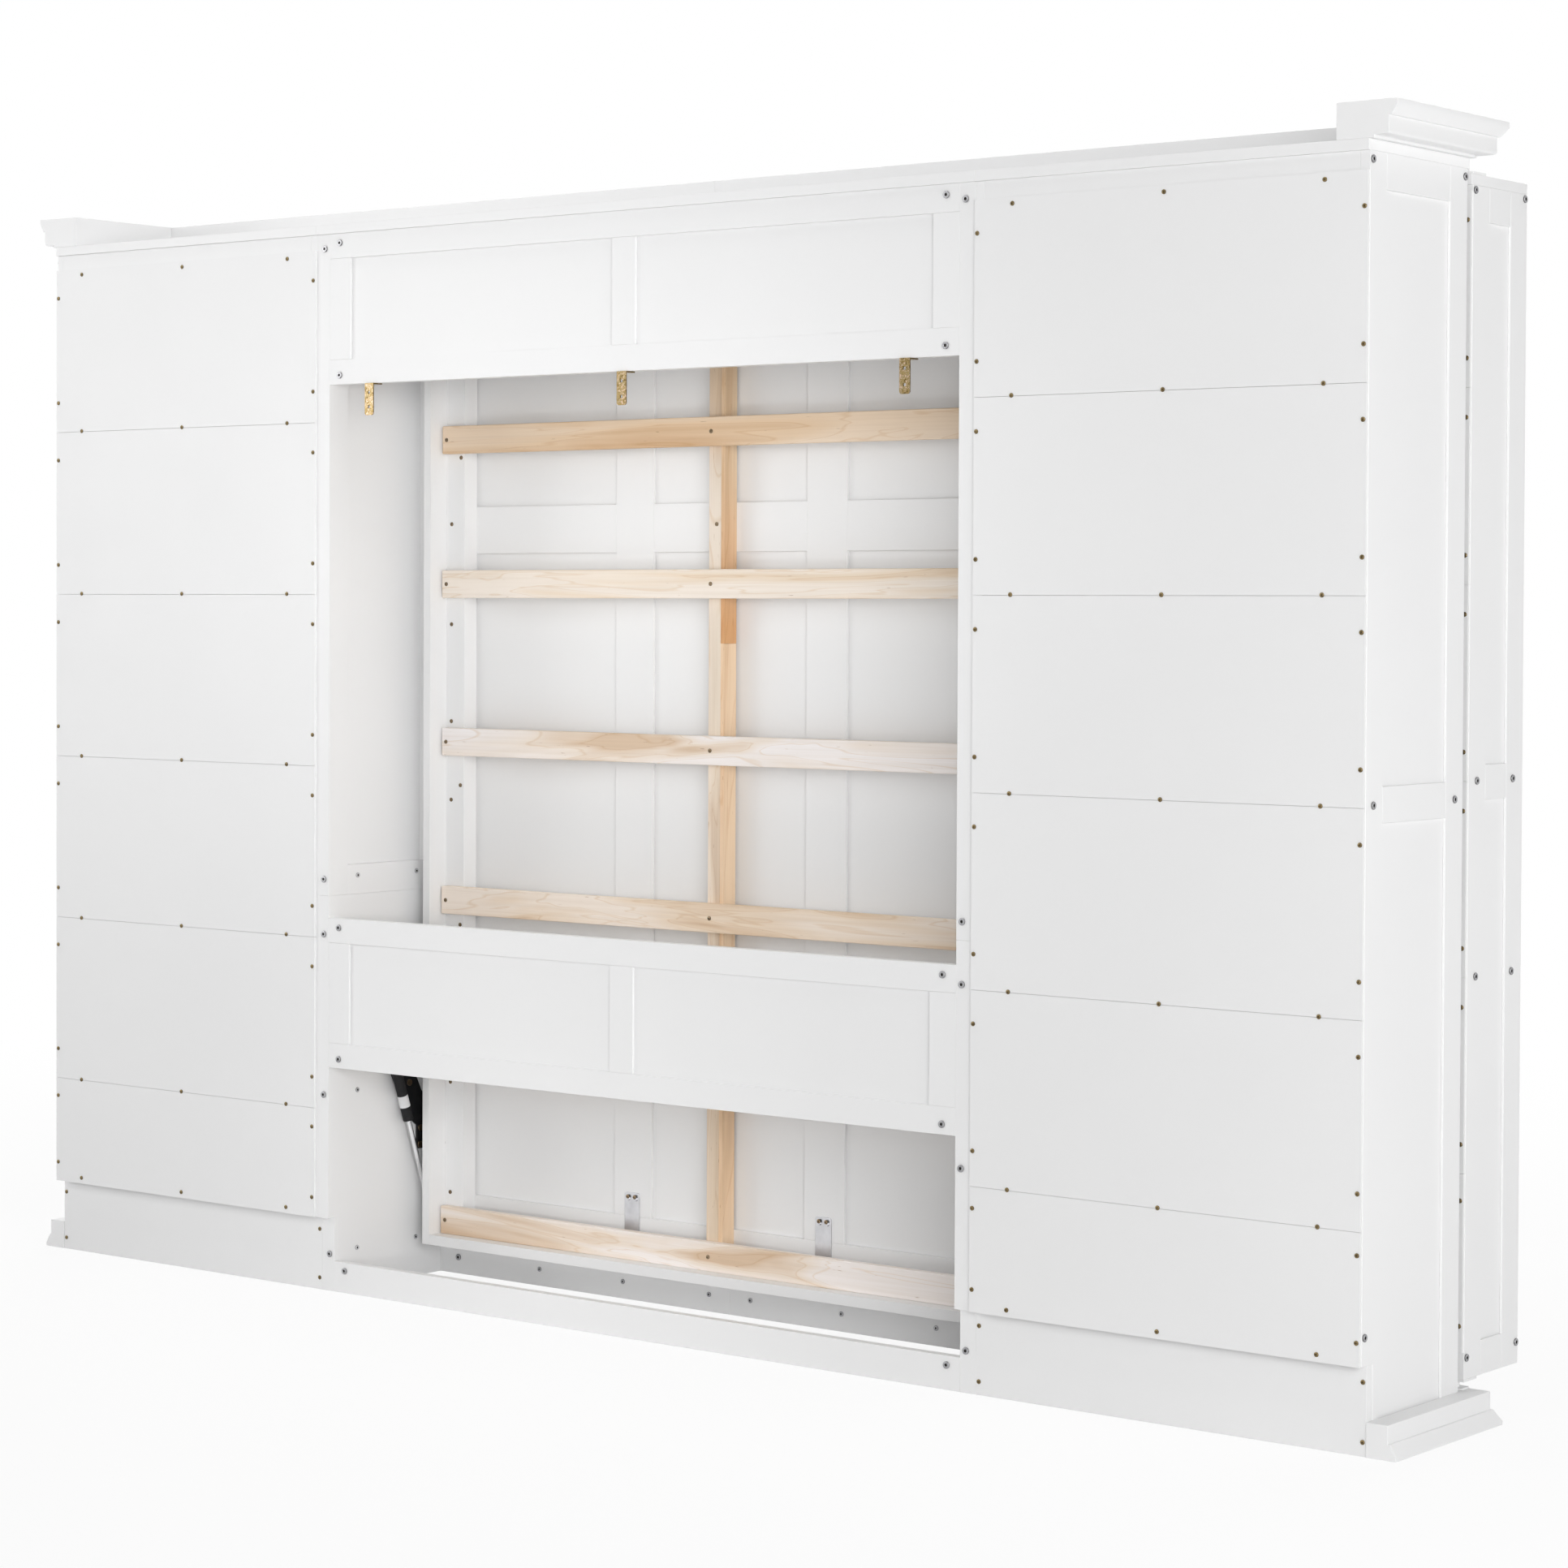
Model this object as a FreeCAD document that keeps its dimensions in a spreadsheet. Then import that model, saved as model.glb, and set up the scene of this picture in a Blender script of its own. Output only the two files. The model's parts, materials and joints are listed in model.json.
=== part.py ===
"""Folding wall bed between two side cabinets that swing-out bookcases close.

Sizes are in millimetres, +Z is up and the room side faces -Y. The origin lies on the floor under
the middle of the whole piece. A depth is counted from the wall side towards the room. The right
half is built (+X, seen from the room) and the left half is its mirror image.
"""
import FreeCAD, Part
import math
import os

import Sketcher

SIZES = {
    # Bed tray and the room round it, which set the whole piece
    "bed_inside_width": 1388.0,
    "bed_inside_length": 1910.0,
    "bed_floor_gap": 71.0,
    "end_thick": 20.0,
    "strut_space_width": 39.0,
    "top_gap": 41.0,
    "cabinet_width": 757.0,
    "carcass_depth": 324.0,
    "overrun": 20.0,
    # Boards
    "board_thick": 18.0,
    "bed_side_thick": 33.0,
    "top_overhang": 8.0,
    "plinth_depth": 22.5,
    "cabinet_floor_height": 182.0,
    "cabinet_rail_width": 60.0,
    "floor_rail_width": 59.0,
    # Back panels of a side cabinet
    "back_thick": 5.0,
    "back_edge_gap": 1.0,
    "back_floor_height": 145.0,
    "back_first_height": 214.5,
    "back_top_gap": 30.0,
    "back_seam_gap": 1.0,
    "back_screw_gap": 6.0,
    # Frames with loose panels
    "stile_width": 58.0,
    "side_low_rail_width": 52.0,
    "panel_thick": 8.0,
    "tongue_depth": 8.0,
    "groove_gap": 0.3,
    "glue_gap": 0.1,
    "bed_stile_width": 52.0,
    "rear_thick": 20.0,
    "rear_height": 292.0,
    "rear_rail_width": 48.0,
    "rear_stile_width": 56.0,
    # Crown and base mouldings
    "crown_width": 94.0,
    "crown_overhang": 35.0,
    "crown_height": 59.0,
    "crown_seat_width": 68.0,
    "crown_rebate_depth": 5.0,
    "crown_fascia_height": 29.0,
    "crown_round_radius": 5.0,
    "crown_step_width": 4.5,
    "crown_slope_width": 10.5,
    "crown_nose_height": 9.5,
    "base_width": 39.0,
    "base_height": 56.0,
    "base_fascia_height": 30.0,
    "base_step_width": 3.6,
    "base_slope_width": 11.4,
    "base_nose_height": 6.5,
    "base_rear_gap": 20.0,
    # Wall brackets
    "bracket_width": 22.5,
    "bracket_thick": 2.5,
    "bracket_height": 62.0,
    "bracket_depth": 25.0,
    "bracket_side_gap": 111.5,
    "bracket_hole_radius": 3.0,
    "bracket_hole_gap": 18.0,
    "bracket_hole_pitch": 28.0,
    # Slats and what carries them
    "bed_rail_width": 84.0,
    "slat_thick": 18.0,
    "slat_width": 55.0,
    "slat_gap": 4.0,
    "ledge_width": 48.0,
    "ledge_depth": 36.5,
    "beam_width": 38.0,
    "beam_strip_thick": 9.0,
    # Bed face
    "face_inset_depth": 11.0,
    "face_thick": 22.0,
    "face_gap": 5.0,
    "face_floor_gap": 72.0,
    "face_top_gap": 12.0,
    "face_stile_width": 94.0,
    "face_rail_width": 93.0,
    "face_muntin_width": 94.0,
    "tie_width": 37.0,
    "tie_height": 120.0,
    "tie_thick": 2.5,
    "plate_corner_radius": 5.0,
    # Bed pivot and gas struts
    "pivot_front_gap": 39.0,
    "pivot_height": 270.0,
    "pivot_radius": 8.0,
    "sleeve_radius": 13.0,
    "running_gap": 0.05,
    "side_gap": 0.4,
    "plate_thick": 5.0,
    "plate_width": 62.0,
    "plate_end_width": 26.0,
    "strut_rise_height": 330.0,
    "strut_back_depth": 171.0,
    "strut_foot_height": 160.0,
    "strut_foot_depth": 6.0,
    "strut_side_gap": 20.0,
    "strut_radius": 10.5,
    "strut_bore_radius": 8.5,
    "strut_barrel_length": 296.0,
    "strut_cap_length": 16.0,
    "strut_neck_length": 10.0,
    "strut_gland_length": 8.0,
    "rod_radius": 5.0,
    "rod_inside_length": 70.0,
    "piston_height": 10.0,
    "eye_thick": 12.0,
    "eye_radius": 13.0,
    "foot_plate_width": 50.0,
    # Fold-out legs
    "leg_side_gap": 40.0,
    "leg_width": 40.0,
    "leg_thick": 6.0,
    "leg_axis_depth": 3.5,
    "leg_axis_gap": 6.0,
    "leg_floor_gap": 1.0,
    "leg_pin_radius": 2.0,
    "leg_ear_thick": 5.0,
    "leg_bar_width": 30.0,
    # Bookcases
    "book_gap": 15.0,
    "book_depth": 195.0,
    "book_floor_gap": 72.0,
    "book_side_gap": 6.0,
    "book_top_gap": 6.0,
    "book_toe_height": 27.0,
    "book_first_height": 296.5,
    "book_back_gap": 26.5,
    "hinge_side_gap": 17.0,
    "hinge_back_gap": 12.0,
    "hinge_pin_radius": 5.0,
    "hinge_plate_thick": 3.0,
    "hinge_shoe_thick": 4.0,
    "hinge_plate_length": 45.0,
    "hinge_plate_depth": 13.0,
    "hinge_block_width": 50.0,
    # Fasteners
    "screw_radius": 4.0,
    "screw_head_height": 2.0,
    "screw_edge_gap": 12.0,
    "bolt_radius": 6.5,
    "bolt_head_height": 2.5,
    "bolt_edge_gap": 8.0,
    "bolt_end_gap": 28.0,
}

TALL_BACK_PANELS = 5
TALL_BOOK_PANELS = 5
CABINET_SHELF_SHARE = 0.4961
SIDE_MID_RAIL_SHARE = 0.4864
BED_LOW_RAIL_SHARE = 0.3763
REAR_MIDDLE_SHARE = 0.2139
BOOK_MID_RAIL_SHARE = 0.4985
FACE_MID_RAIL_SHARE = 0.7013
BEAM_SPLIT_SHARE = 0.6174
SEAM_SCREW_SHARES = (0.103, 0.5, 0.897)
EDGE_SCREW_SHARES = (0.181, 0.827)
PLINTH_SCREW_SHARES = (0.159, 0.818)
SLAT_SHARES = (0.0, 0.1715, 0.3442, 0.514, 0.6828, 0.8369, 1.0)
LEDGE_SCREW_SHARES = (((0.29, 0.099), (0.29, 0.938)), ((0.81, 0.919),), ((0.29, 0.66), (0.81, 0.774)),
                      ((0.29, 0.0505), (0.29, 0.798)), ((0.29, 0.397), (0.81, 0.9676)),
                      ((0.29, 0.412),))
BEAM_SCREW_SHARES = ((), (), (), (), (0.367,), ())
BASE_BOLT_SHARES = (0.0672, 0.3549, 0.6434, 0.9337)
BASE_BOLT_HEIGHT_SHARE = 0.59
POST_BOLT_SHARES = (0.1876, 0.3398, 0.3918, 0.9866)
POST_BOLT_SIDE_SHARE = 0.38
REAR_BOLT_SHARE = 0.375
FLOOR_BOLT_SHARE = 0.73
TOP_BOLT_SHARE = 0.75
INNER_BOLT_SHARES = ((0.25, 0.038), (0.77, 0.038), (0.25, 0.189), (0.25, 0.394), (0.77, 0.394))
TIE_SCREW_SHARES = (0.25, 0.75)
PLATE_BOLT_SHARES = ((-0.44, -0.1), (-0.42, 0.44), (-0.94, 1.95))
PIVOT_PLATE_SHARES = ((-0.56, -0.23), (0.44, -0.23), (0.44, 0.84), (-0.37, 1.65))
PIVOT_PLATE_HEEL_SHARES = ((-1.02, 0.89), (-0.56, 0.53))
STUD_PLATE_SHARES = ((1.0, 0.46), (-0.23, 1.0), (-1.0, -0.38))

DOC = FreeCAD.newDocument("wall_bed")
SHEET = DOC.addObject("Spreadsheet::Sheet", "sizes")
NODES = {}


class Size:
    """A length that carries its sheet formula along with its value."""

    def __init__(self, text, value):
        self.text = text
        self.value = value

    def joined(self, sign, other, value):
        return Size(f"({self.text} {sign} {other.text})", value)

    def __add__(self, other):
        other = as_size(other)
        return self.joined("+", other, self.value + other.value)

    def __sub__(self, other):
        other = as_size(other)
        return self.joined("-", other, self.value - other.value)

    def __mul__(self, share):
        share = as_size(share)
        return self.joined("*", share, self.value * share.value)

    def __truediv__(self, share):
        share = as_size(share)
        return self.joined("/", share, self.value / share.value)

    def __neg__(self):
        return Size(f"(-{self.text})", -self.value)

    __radd__ = __add__
    __rmul__ = __mul__


class Dimensions:
    """Gives each named cell of the sheet as a Size."""

    def __getattr__(self, name):
        return Size(f"sizes.{name}", SIZES[name])


dim = Dimensions()


def as_size(number):
    return number if isinstance(number, Size) else Size(repr(float(number)), float(number))


def span_of(along, up):
    """Length of the straight line with these two offsets."""
    return Size(f"sqrt({along.text} * {along.text} + {up.text} * {up.text})",
                math.hypot(along.value, up.value))


def fill_sheet():
    for row, (alias, value) in enumerate(SIZES.items(), start=1):
        SHEET.set(f"A{row}", alias)
        SHEET.set(f"B{row}", str(value))
        SHEET.setAlias(f"B{row}", alias)
    DOC.recompute()


# Places worked out from the sheet
bed_inside = dim.bed_inside_width / 2
rail_face = bed_inside + dim.board_thick
post_face = rail_face + dim.strut_space_width
half_bed = post_face + dim.bed_side_thick
half_width = half_bed + dim.cabinet_width
bed_floor = dim.bed_floor_gap + dim.end_thick
bed_top = bed_floor + dim.bed_inside_length
carcass_height = bed_top + dim.end_thick + dim.top_gap
top_of_boards = carcass_height + dim.board_thick
book_back = dim.carcass_depth + dim.book_gap
book_front = book_back + dim.book_depth
wall_plane = (book_front - dim.screw_head_height) / 2
side_back = dim.back_thick
plinth_front = dim.plinth_depth + dim.board_thick
cabinet_shelf = carcass_height * CABINET_SHELF_SHARE
back_high = carcass_height - dim.back_top_gap
back_pitch = (back_high - dim.back_floor_height - dim.back_first_height) / TALL_BACK_PANELS
rear_middle = carcass_height * REAR_MIDDLE_SHARE
face_back = dim.carcass_depth - dim.face_inset_depth
face_front = face_back + dim.face_thick
face_edge = post_face - dim.face_gap
face_high = carcass_height - dim.face_top_gap
face_field = (face_edge - dim.face_stile_width - dim.face_muntin_width) / 3
muntin_place = face_field + dim.face_muntin_width / 2
slat_front = face_back - dim.ledge_depth
slat_back = slat_front - dim.slat_thick
pivot = (dim.carcass_depth - dim.pivot_front_gap, dim.pivot_height)
strut_top = (pivot[0] - dim.strut_back_depth, pivot[1] + dim.strut_rise_height)
strut_foot = (pivot[0] - dim.strut_foot_depth, pivot[1] - dim.strut_foot_height)
strut_line = post_face - dim.strut_side_gap
leg_place = face_field - dim.leg_side_gap
leg_depth = face_front - dim.leg_axis_depth
leg_axis = face_high - dim.face_rail_width - dim.leg_axis_gap
book_inner = half_bed + dim.book_side_gap
book_high = carcass_height - dim.book_top_gap
book_floor = dim.book_floor_gap + dim.book_toe_height
book_back_low = book_floor + dim.board_thick
book_first = book_back_low + dim.book_first_height
book_pitch = (book_high - dim.book_back_gap - book_first) / TALL_BOOK_PANELS
hinge_across = half_width - dim.hinge_side_gap
hinge_depth = book_back + dim.hinge_back_gap


def bind(item, prop, size):
    item.setExpression(prop, as_size(size).text)


def place(item, across, depth, height):
    bind(item, "Placement.Base.x", across)
    bind(item, "Placement.Base.y", wall_plane - depth)
    bind(item, "Placement.Base.z", height)


def board(name, across, deep, tall):
    """A board from its start and end across, in depth and in height."""
    box = DOC.addObject("Part::Box", name)
    bind(box, "Length", across[1] - across[0])
    bind(box, "Width", deep[1] - deep[0])
    bind(box, "Height", tall[1] - tall[0])
    place(box, across[0], deep[1], tall[0])
    return box


FACING = {
    "back": FreeCAD.Rotation(FreeCAD.Vector(1, 0, 0), -90),
    "front": FreeCAD.Rotation(FreeCAD.Vector(1, 0, 0), 90),
    "out": FreeCAD.Rotation(FreeCAD.Vector(0, 1, 0), 90),
    "in": FreeCAD.Rotation(FreeCAD.Vector(0, 1, 0), -90),
    "up": FreeCAD.Rotation(),
}


def rod(name, facing, spot, radius, length):
    """A round bar that starts at a spot (across, depth, height) and runs the way it faces."""
    bar = DOC.addObject("Part::Cylinder", name)
    bar.Placement.Rotation = FACING[facing]
    bind(bar, "Radius", radius)
    bind(bar, "Height", length)
    place(bar, *spot)
    return bar


def cut(name, base, tool):
    result = DOC.addObject("Part::Cut", name)
    result.Base = base
    result.Tool = tool
    return result


def fuse(name, pieces):
    result = DOC.addObject("Part::MultiFuse", name)
    result.Shapes = pieces
    return result


def group(name, pieces):
    result = DOC.addObject("Part::Compound", name)
    result.Links = pieces
    return result


def node(label, *pieces):
    """Names one sub-part; several separate solids are held together as a compound."""
    item = pieces[0] if len(pieces) == 1 else group(label, list(pieces))
    item.Label = label
    NODES[label] = item
    return item


def mirrored(label, source):
    item = DOC.addObject("Part::Mirroring", label)
    item.Source = source
    item.Normal = FreeCAD.Vector(1, 0, 0)
    item.Label = label
    NODES[label] = item
    return item


def pair(name, *pieces):
    """A sub-part of the right half and its mirror image on the left."""
    right = node(f"right_{name}", *pieces)
    mirrored(f"left_{name}", right)


def both_sides(pieces):
    """The pieces of the right half and their mirror images, for one shared node."""
    twins = []
    for piece in pieces:
        twin = DOC.addObject("Part::Mirroring", f"{piece.Name}_left")
        twin.Source = piece
        twin.Normal = FreeCAD.Vector(1, 0, 0)
        twins.append(twin)
    return pieces + twins


def outline(body, corners, arcs=()):
    """A closed sketch on the body's upright plane, each corner tied to the sheet.

    A number in arcs makes the edge that leaves that corner an arc; its radius and the side
    that it bulges to (1 left of the way round, -1 right) come with it.
    """
    sketch = body.newObject("Sketcher::SketchObject", f"{body.Name}_outline")
    plane = next(item for item in body.Origin.OriginFeatures if item.Role == "XZ_Plane")
    sketch.AttachmentSupport = [(plane, "")]
    sketch.MapMode = "FlatFace"
    bulges = {corner: (radius, side) for corner, radius, side in arcs}
    spots = [FreeCAD.Vector(as_size(x).value, as_size(y).value, 0) for x, y in corners]
    count = len(spots)
    starts = []
    for index, start in enumerate(spots):
        end = spots[(index + 1) % count]
        if index not in bulges:
            sketch.addGeometry(Part.LineSegment(start, end), False)
            starts.append((1, 2))
            continue
        radius, side = bulges[index]
        chord = end - start
        across = FreeCAD.Vector(-chord.y, chord.x, 0).normalize() * side
        rise = math.sqrt(max(radius.value ** 2 - (chord.Length / 2) ** 2, 0))
        centre = (start + end) / 2 - across * rise
        first, last = (start, end) if side < 0 else (end, start)
        angles = [math.atan2(spot.y - centre.y, spot.x - centre.x) for spot in (first, last)]
        circle = Part.Circle(centre, FreeCAD.Vector(0, 0, 1), radius.value)
        sketch.addGeometry(Part.ArcOfCircle(circle, *angles), False)
        starts.append((1, 2) if side < 0 else (2, 1))
    for index in range(count):
        after = (index + 1) % count
        sketch.addConstraint(Sketcher.Constraint(
            "Coincident", index, starts[index][1], after, starts[after][0]))
    for index, (x, y) in enumerate(corners):
        for kind, axis, size in (("DistanceX", -2, x), ("DistanceY", -1, y)):
            size = as_size(size)
            if size.value == 0:
                sketch.addConstraint(Sketcher.Constraint(
                    "PointOnObject", index, starts[index][0], axis))
                continue
            number = sketch.addConstraint(Sketcher.Constraint(
                kind, -1, 1, index, starts[index][0], size.value))
            sketch.setExpression(f"Constraints[{number}]", size.text)
    for index, (radius, side) in bulges.items():
        number = sketch.addConstraint(Sketcher.Constraint("Radius", index, radius.value))
        sketch.setExpression(f"Constraints[{number}]", radius.text)
    return sketch


def padded(name, corners, length, arcs=()):
    """An outline in width and height, drawn out towards the room."""
    body = DOC.addObject("PartDesign::Body", name)
    sketch = outline(body, corners, arcs)
    pad = body.newObject("PartDesign::Pad", f"{name}_pad")
    pad.Profile = sketch
    bind(pad, "Length", length)
    return body


def plate(name, wide, tall, thick, round_top, spot):
    """A steel strip that faces the wall, with two round corners at its free end."""
    r = dim.plate_corner_radius
    if round_top:
        corners = [(0, 0), (wide, 0), (wide, tall - r), (wide - r, tall), (r, tall), (0, tall - r)]
        arcs = [(2, r, -1), (4, r, -1)]
    else:
        corners = [(r, 0), (wide - r, 0), (wide, r), (wide, tall), (0, tall), (0, r)]
        arcs = [(1, r, -1), (5, r, -1)]
    strip = padded(name, corners, thick, arcs)
    place(strip, *spot)
    return strip


def turned(name, corners):
    """A half section (radius, along) turned about its axis."""
    body = DOC.addObject("PartDesign::Body", name)
    sketch = outline(body, corners)
    turn = body.newObject("PartDesign::Revolution", f"{name}_turn")
    turn.Profile = sketch
    turn.ReferenceAxis = (sketch, ["V_Axis"])
    return body


def glued(start, end):
    """The two ends of a board between two others, with room for the glue."""
    return start + dim.glue_gap, end - dim.glue_gap


def slab(name, normal, skin, along, tall):
    """A board of a frame, which lies across the piece or faces the room."""
    if normal == "across":
        return board(name, skin, along, tall)
    return board(name, along, skin, tall)


def framed(name, normal, skin, low, high, stiles, rails, muntins=(), rails_run_through=False):
    """A frame of stiles and rails whose loose panels sit in stopped grooves.

    Stiles run from low to high and the rails lie between them, or the rails run through and
    the stiles stand between. Muntins run from the bottom rail to the top rail, and the rails
    between are in pieces that end at them.
    """
    members = []
    outer = (stiles[0][0], stiles[-1][1])
    inner = (stiles[0][1], stiles[-1][0])
    for number, stile in enumerate(stiles):
        reach = glued(rails[0][1], rails[-1][0]) if rails_run_through else (low, high)
        members.append(slab(f"{name}_stile_{number}", normal, skin, stile, reach))
    uprights = stiles if rails_run_through else [stiles[0], *muntins, stiles[-1]]
    for number, rail in enumerate(rails):
        reaches = [outer if rails_run_through else glued(*inner)]
        if muntins and rail not in (rails[0], rails[-1]):
            reaches = [glued(near[1], far[0]) for near, far in zip(uprights, uprights[1:])]
        for piece, reach in enumerate(reaches):
            members.append(slab(f"{name}_rail_{number}_{piece}", normal, skin, reach, rail))
    for number, muntin in enumerate(muntins):
        members.append(slab(f"{name}_muntin_{number}", normal, skin, muntin,
                            glued(rails[0][1], rails[-1][0])))
    panels, grooves = [], []
    middle = (skin[0] + skin[1]) / 2
    for field in range(len(rails) - 1):
        tall = (rails[field][1], rails[field + 1][0])
        for column in range(len(uprights) - 1):
            wide = (uprights[column][1], uprights[column + 1][0])
            tag = f"{name}_{field}_{column}"
            panels.append(sunk(f"{tag}_panel", normal, middle, wide, tall, 0))
            grooves.append(sunk(f"{tag}_groove", normal, middle, wide, tall, dim.groove_gap))
    tool = grooves[0] if len(grooves) == 1 else group(f"{name}_grooves", grooves)
    return [cut(f"{member.Name}_grooved", member, tool) for member in members], panels


def sunk(name, normal, middle, wide, tall, play):
    """A loose panel that enters the frame all round, or with play the groove for it."""
    half = dim.panel_thick / 2 + play
    edge = dim.tongue_depth + play
    return slab(name, normal, (middle - half, middle + half),
                (wide[0] - edge, wide[1] + edge), (tall[0] - edge, tall[1] + edge))


def screw(name, facing, across, depth, height):
    return rod(name, facing, (across, depth, height), dim.screw_radius, dim.screw_head_height)


def bolt(name, facing, across, depth, height):
    return rod(name, facing, (across, depth, height), dim.bolt_radius, dim.bolt_head_height)


def cabinet_sides():
    """Outer framed side, notched at the back for the plinth, and the plain inner side."""
    skin = (half_width - dim.board_thick, half_width)
    stiles = [(side_back, dim.stile_width),
              (dim.carcass_depth - dim.stile_width, dim.carcass_depth)]
    mid_rail = carcass_height * SIDE_MID_RAIL_SHARE
    rails = [(as_size(0), dim.side_low_rail_width), (mid_rail, mid_rail + dim.stile_width),
             (carcass_height - dim.stile_width, carcass_height)]
    members, panels = framed("outer_side", "across", skin, as_size(0), carcass_height,
                             stiles, rails)
    notch = board("outer_side_notch", (skin[0] - dim.overrun, skin[1] + dim.overrun),
                  (-dim.overrun, plinth_front), (-dim.overrun, dim.back_floor_height))
    members[0] = cut("outer_side_rear_stile", members[0], notch)
    pair("outer_side", *members, *panels)
    skin = (half_bed, half_bed + dim.board_thick)
    plain = board("inner_side_board", skin, (side_back, dim.carcass_depth),
                  (as_size(0), carcass_height))
    notch = board("inner_side_notch", (skin[0] - dim.overrun, skin[1] + dim.overrun),
                  (-dim.overrun, plinth_front), (-dim.overrun, dim.back_floor_height))
    pair("inner_side", cut("inner_side_cut", plain, notch))


def cabinet_boards():
    """Floor, fixed shelf and top rails between the two sides of a cabinet."""
    across = (half_bed + dim.board_thick, half_width - dim.board_thick)
    deep = (side_back, dim.carcass_depth)
    rail = (carcass_height - dim.cabinet_rail_width, carcass_height)
    pair("cabinet_boards",
         board("cabinet_floor_board", across, deep,
               (dim.cabinet_floor_height, dim.cabinet_floor_height + dim.board_thick)),
         board("cabinet_shelf_board", across, deep,
               (cabinet_shelf, cabinet_shelf + dim.board_thick)),
         board("cabinet_rear_rail", across, (side_back, side_back + dim.board_thick), rail),
         board("cabinet_front_rail", across,
               (dim.carcass_depth - dim.board_thick, dim.carcass_depth), rail))
    across = (half_bed, half_width - dim.back_edge_gap / 2)
    node("plinths", *both_sides([
        board("plinth_rear", across, (dim.plinth_depth, plinth_front),
              (as_size(0), dim.back_floor_height)),
        board("plinth_front", (half_bed + dim.board_thick, half_width - dim.board_thick),
              (dim.carcass_depth - dim.board_thick, dim.carcass_depth),
              (as_size(0), dim.cabinet_floor_height))]))


def back_seams():
    """Heights of the lower edges of the back panels, and of the last upper edge."""
    edges = [dim.back_floor_height, dim.back_floor_height + dim.back_first_height]
    for number in range(1, TALL_BACK_PANELS + 1):
        edges.append(edges[1] + back_pitch * number)
    return edges


def cabinet_back():
    """Six thin boards one above the other over the back edges of a cabinet."""
    edges = back_seams()
    across = (half_bed + dim.back_edge_gap, half_width - dim.back_edge_gap)
    panels = []
    for number, (low, high) in enumerate(zip(edges, edges[1:])):
        panels.append(board(f"back_panel_{number}", across, (as_size(0), dim.back_thick),
                            (low, high - dim.back_seam_gap)))
    pair("back_panels", *panels)


def back_screws():
    """Pan heads along the seams and the upright edges of the cabinet backs, and on the plinths."""
    edges = back_seams()
    left, right = half_bed + dim.back_edge_gap, half_width - dim.back_edge_gap
    columns = (left + dim.back_screw_gap, right - dim.back_screw_gap)
    rows = [edges[0] + dim.screw_edge_gap, *(edge + dim.back_seam_gap for edge in edges[1:-1]),
            edges[-1] - dim.screw_edge_gap]
    heads = []
    for row, height in enumerate(rows):
        for column, share in enumerate(SEAM_SCREW_SHARES):
            heads.append(screw(f"seam_screw_{row}_{column}", "back",
                               right - (right - left) * share, as_size(0), height))
    for panel, (low, high) in enumerate(zip(edges, edges[1:])):
        for column, across in enumerate(columns):
            for row, share in enumerate(EDGE_SCREW_SHARES):
                heads.append(screw(f"edge_screw_{panel}_{column}_{row}", "back", across,
                                   as_size(0), low + (high - low) * share))
    for column, across in enumerate(columns):
        for row, share in enumerate(PLINTH_SCREW_SHARES):
            heads.append(screw(f"plinth_screw_{column}_{row}", "back", across, dim.plinth_depth,
                               dim.back_floor_height * share))
    node("back_screws", *both_sides(heads))


def top_boards():
    deep = (as_size(0), dim.carcass_depth + dim.top_overhang)
    tall = (carcass_height, top_of_boards)
    pair("top_board", board("cabinet_top", (half_bed, half_width), deep, tall))
    node("bed_top_board", board("bed_top", (-half_bed, half_bed), deep, tall))


def bed_sides():
    """Thick sides of the bed bay: a framed upper part over a solid board for the pivot."""
    skin = (post_face, half_bed)
    low_rail = carcass_height * BED_LOW_RAIL_SHARE
    stiles = [(side_back, side_back + dim.bed_stile_width),
              (dim.carcass_depth - dim.bed_stile_width, dim.carcass_depth)]
    rails = [(low_rail, low_rail + dim.stile_width),
             (carcass_height - dim.stile_width, carcass_height)]
    members, panels = framed("bed_side", "across", skin, low_rail, carcass_height,
                             stiles, rails)
    lower = board("bed_side_lower", skin, (side_back, dim.carcass_depth),
                  (as_size(0), low_rail - dim.glue_gap))
    notch = board("bed_side_notch", (skin[0] - dim.overrun, skin[1] + dim.overrun),
                  (-dim.overrun, dim.plinth_depth), (-dim.overrun, dim.back_floor_height))
    pair("bed_side", *members, *panels, cut("bed_side_lower_cut", lower, notch))


def rear_frames():
    """Two framed panels and a floor rail that brace the bed sides at the wall."""
    skin = (side_back, side_back + dim.rear_thick)
    stiles = [(-post_face, -post_face + dim.rear_stile_width),
              (-dim.rear_stile_width / 2, dim.rear_stile_width / 2),
              (post_face - dim.rear_stile_width, post_face)]
    for name, low in (("rear_top", carcass_height - dim.rear_height),
                      ("rear_middle", rear_middle)):
        high = low + dim.rear_height
        rails = [(low, low + dim.rear_rail_width), (high - dim.rear_rail_width, high)]
        members, panels = framed(name, "room", skin, low, high, stiles, rails,
                                 rails_run_through=True)
        node(f"{name}_frame", *members)
        node(f"{name}_panels", *panels)
    node("rear_floor_rail",
         board("floor_rail_board", (-post_face, post_face), (dim.plinth_depth, plinth_front),
               (as_size(0), dim.floor_rail_width)))


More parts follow.
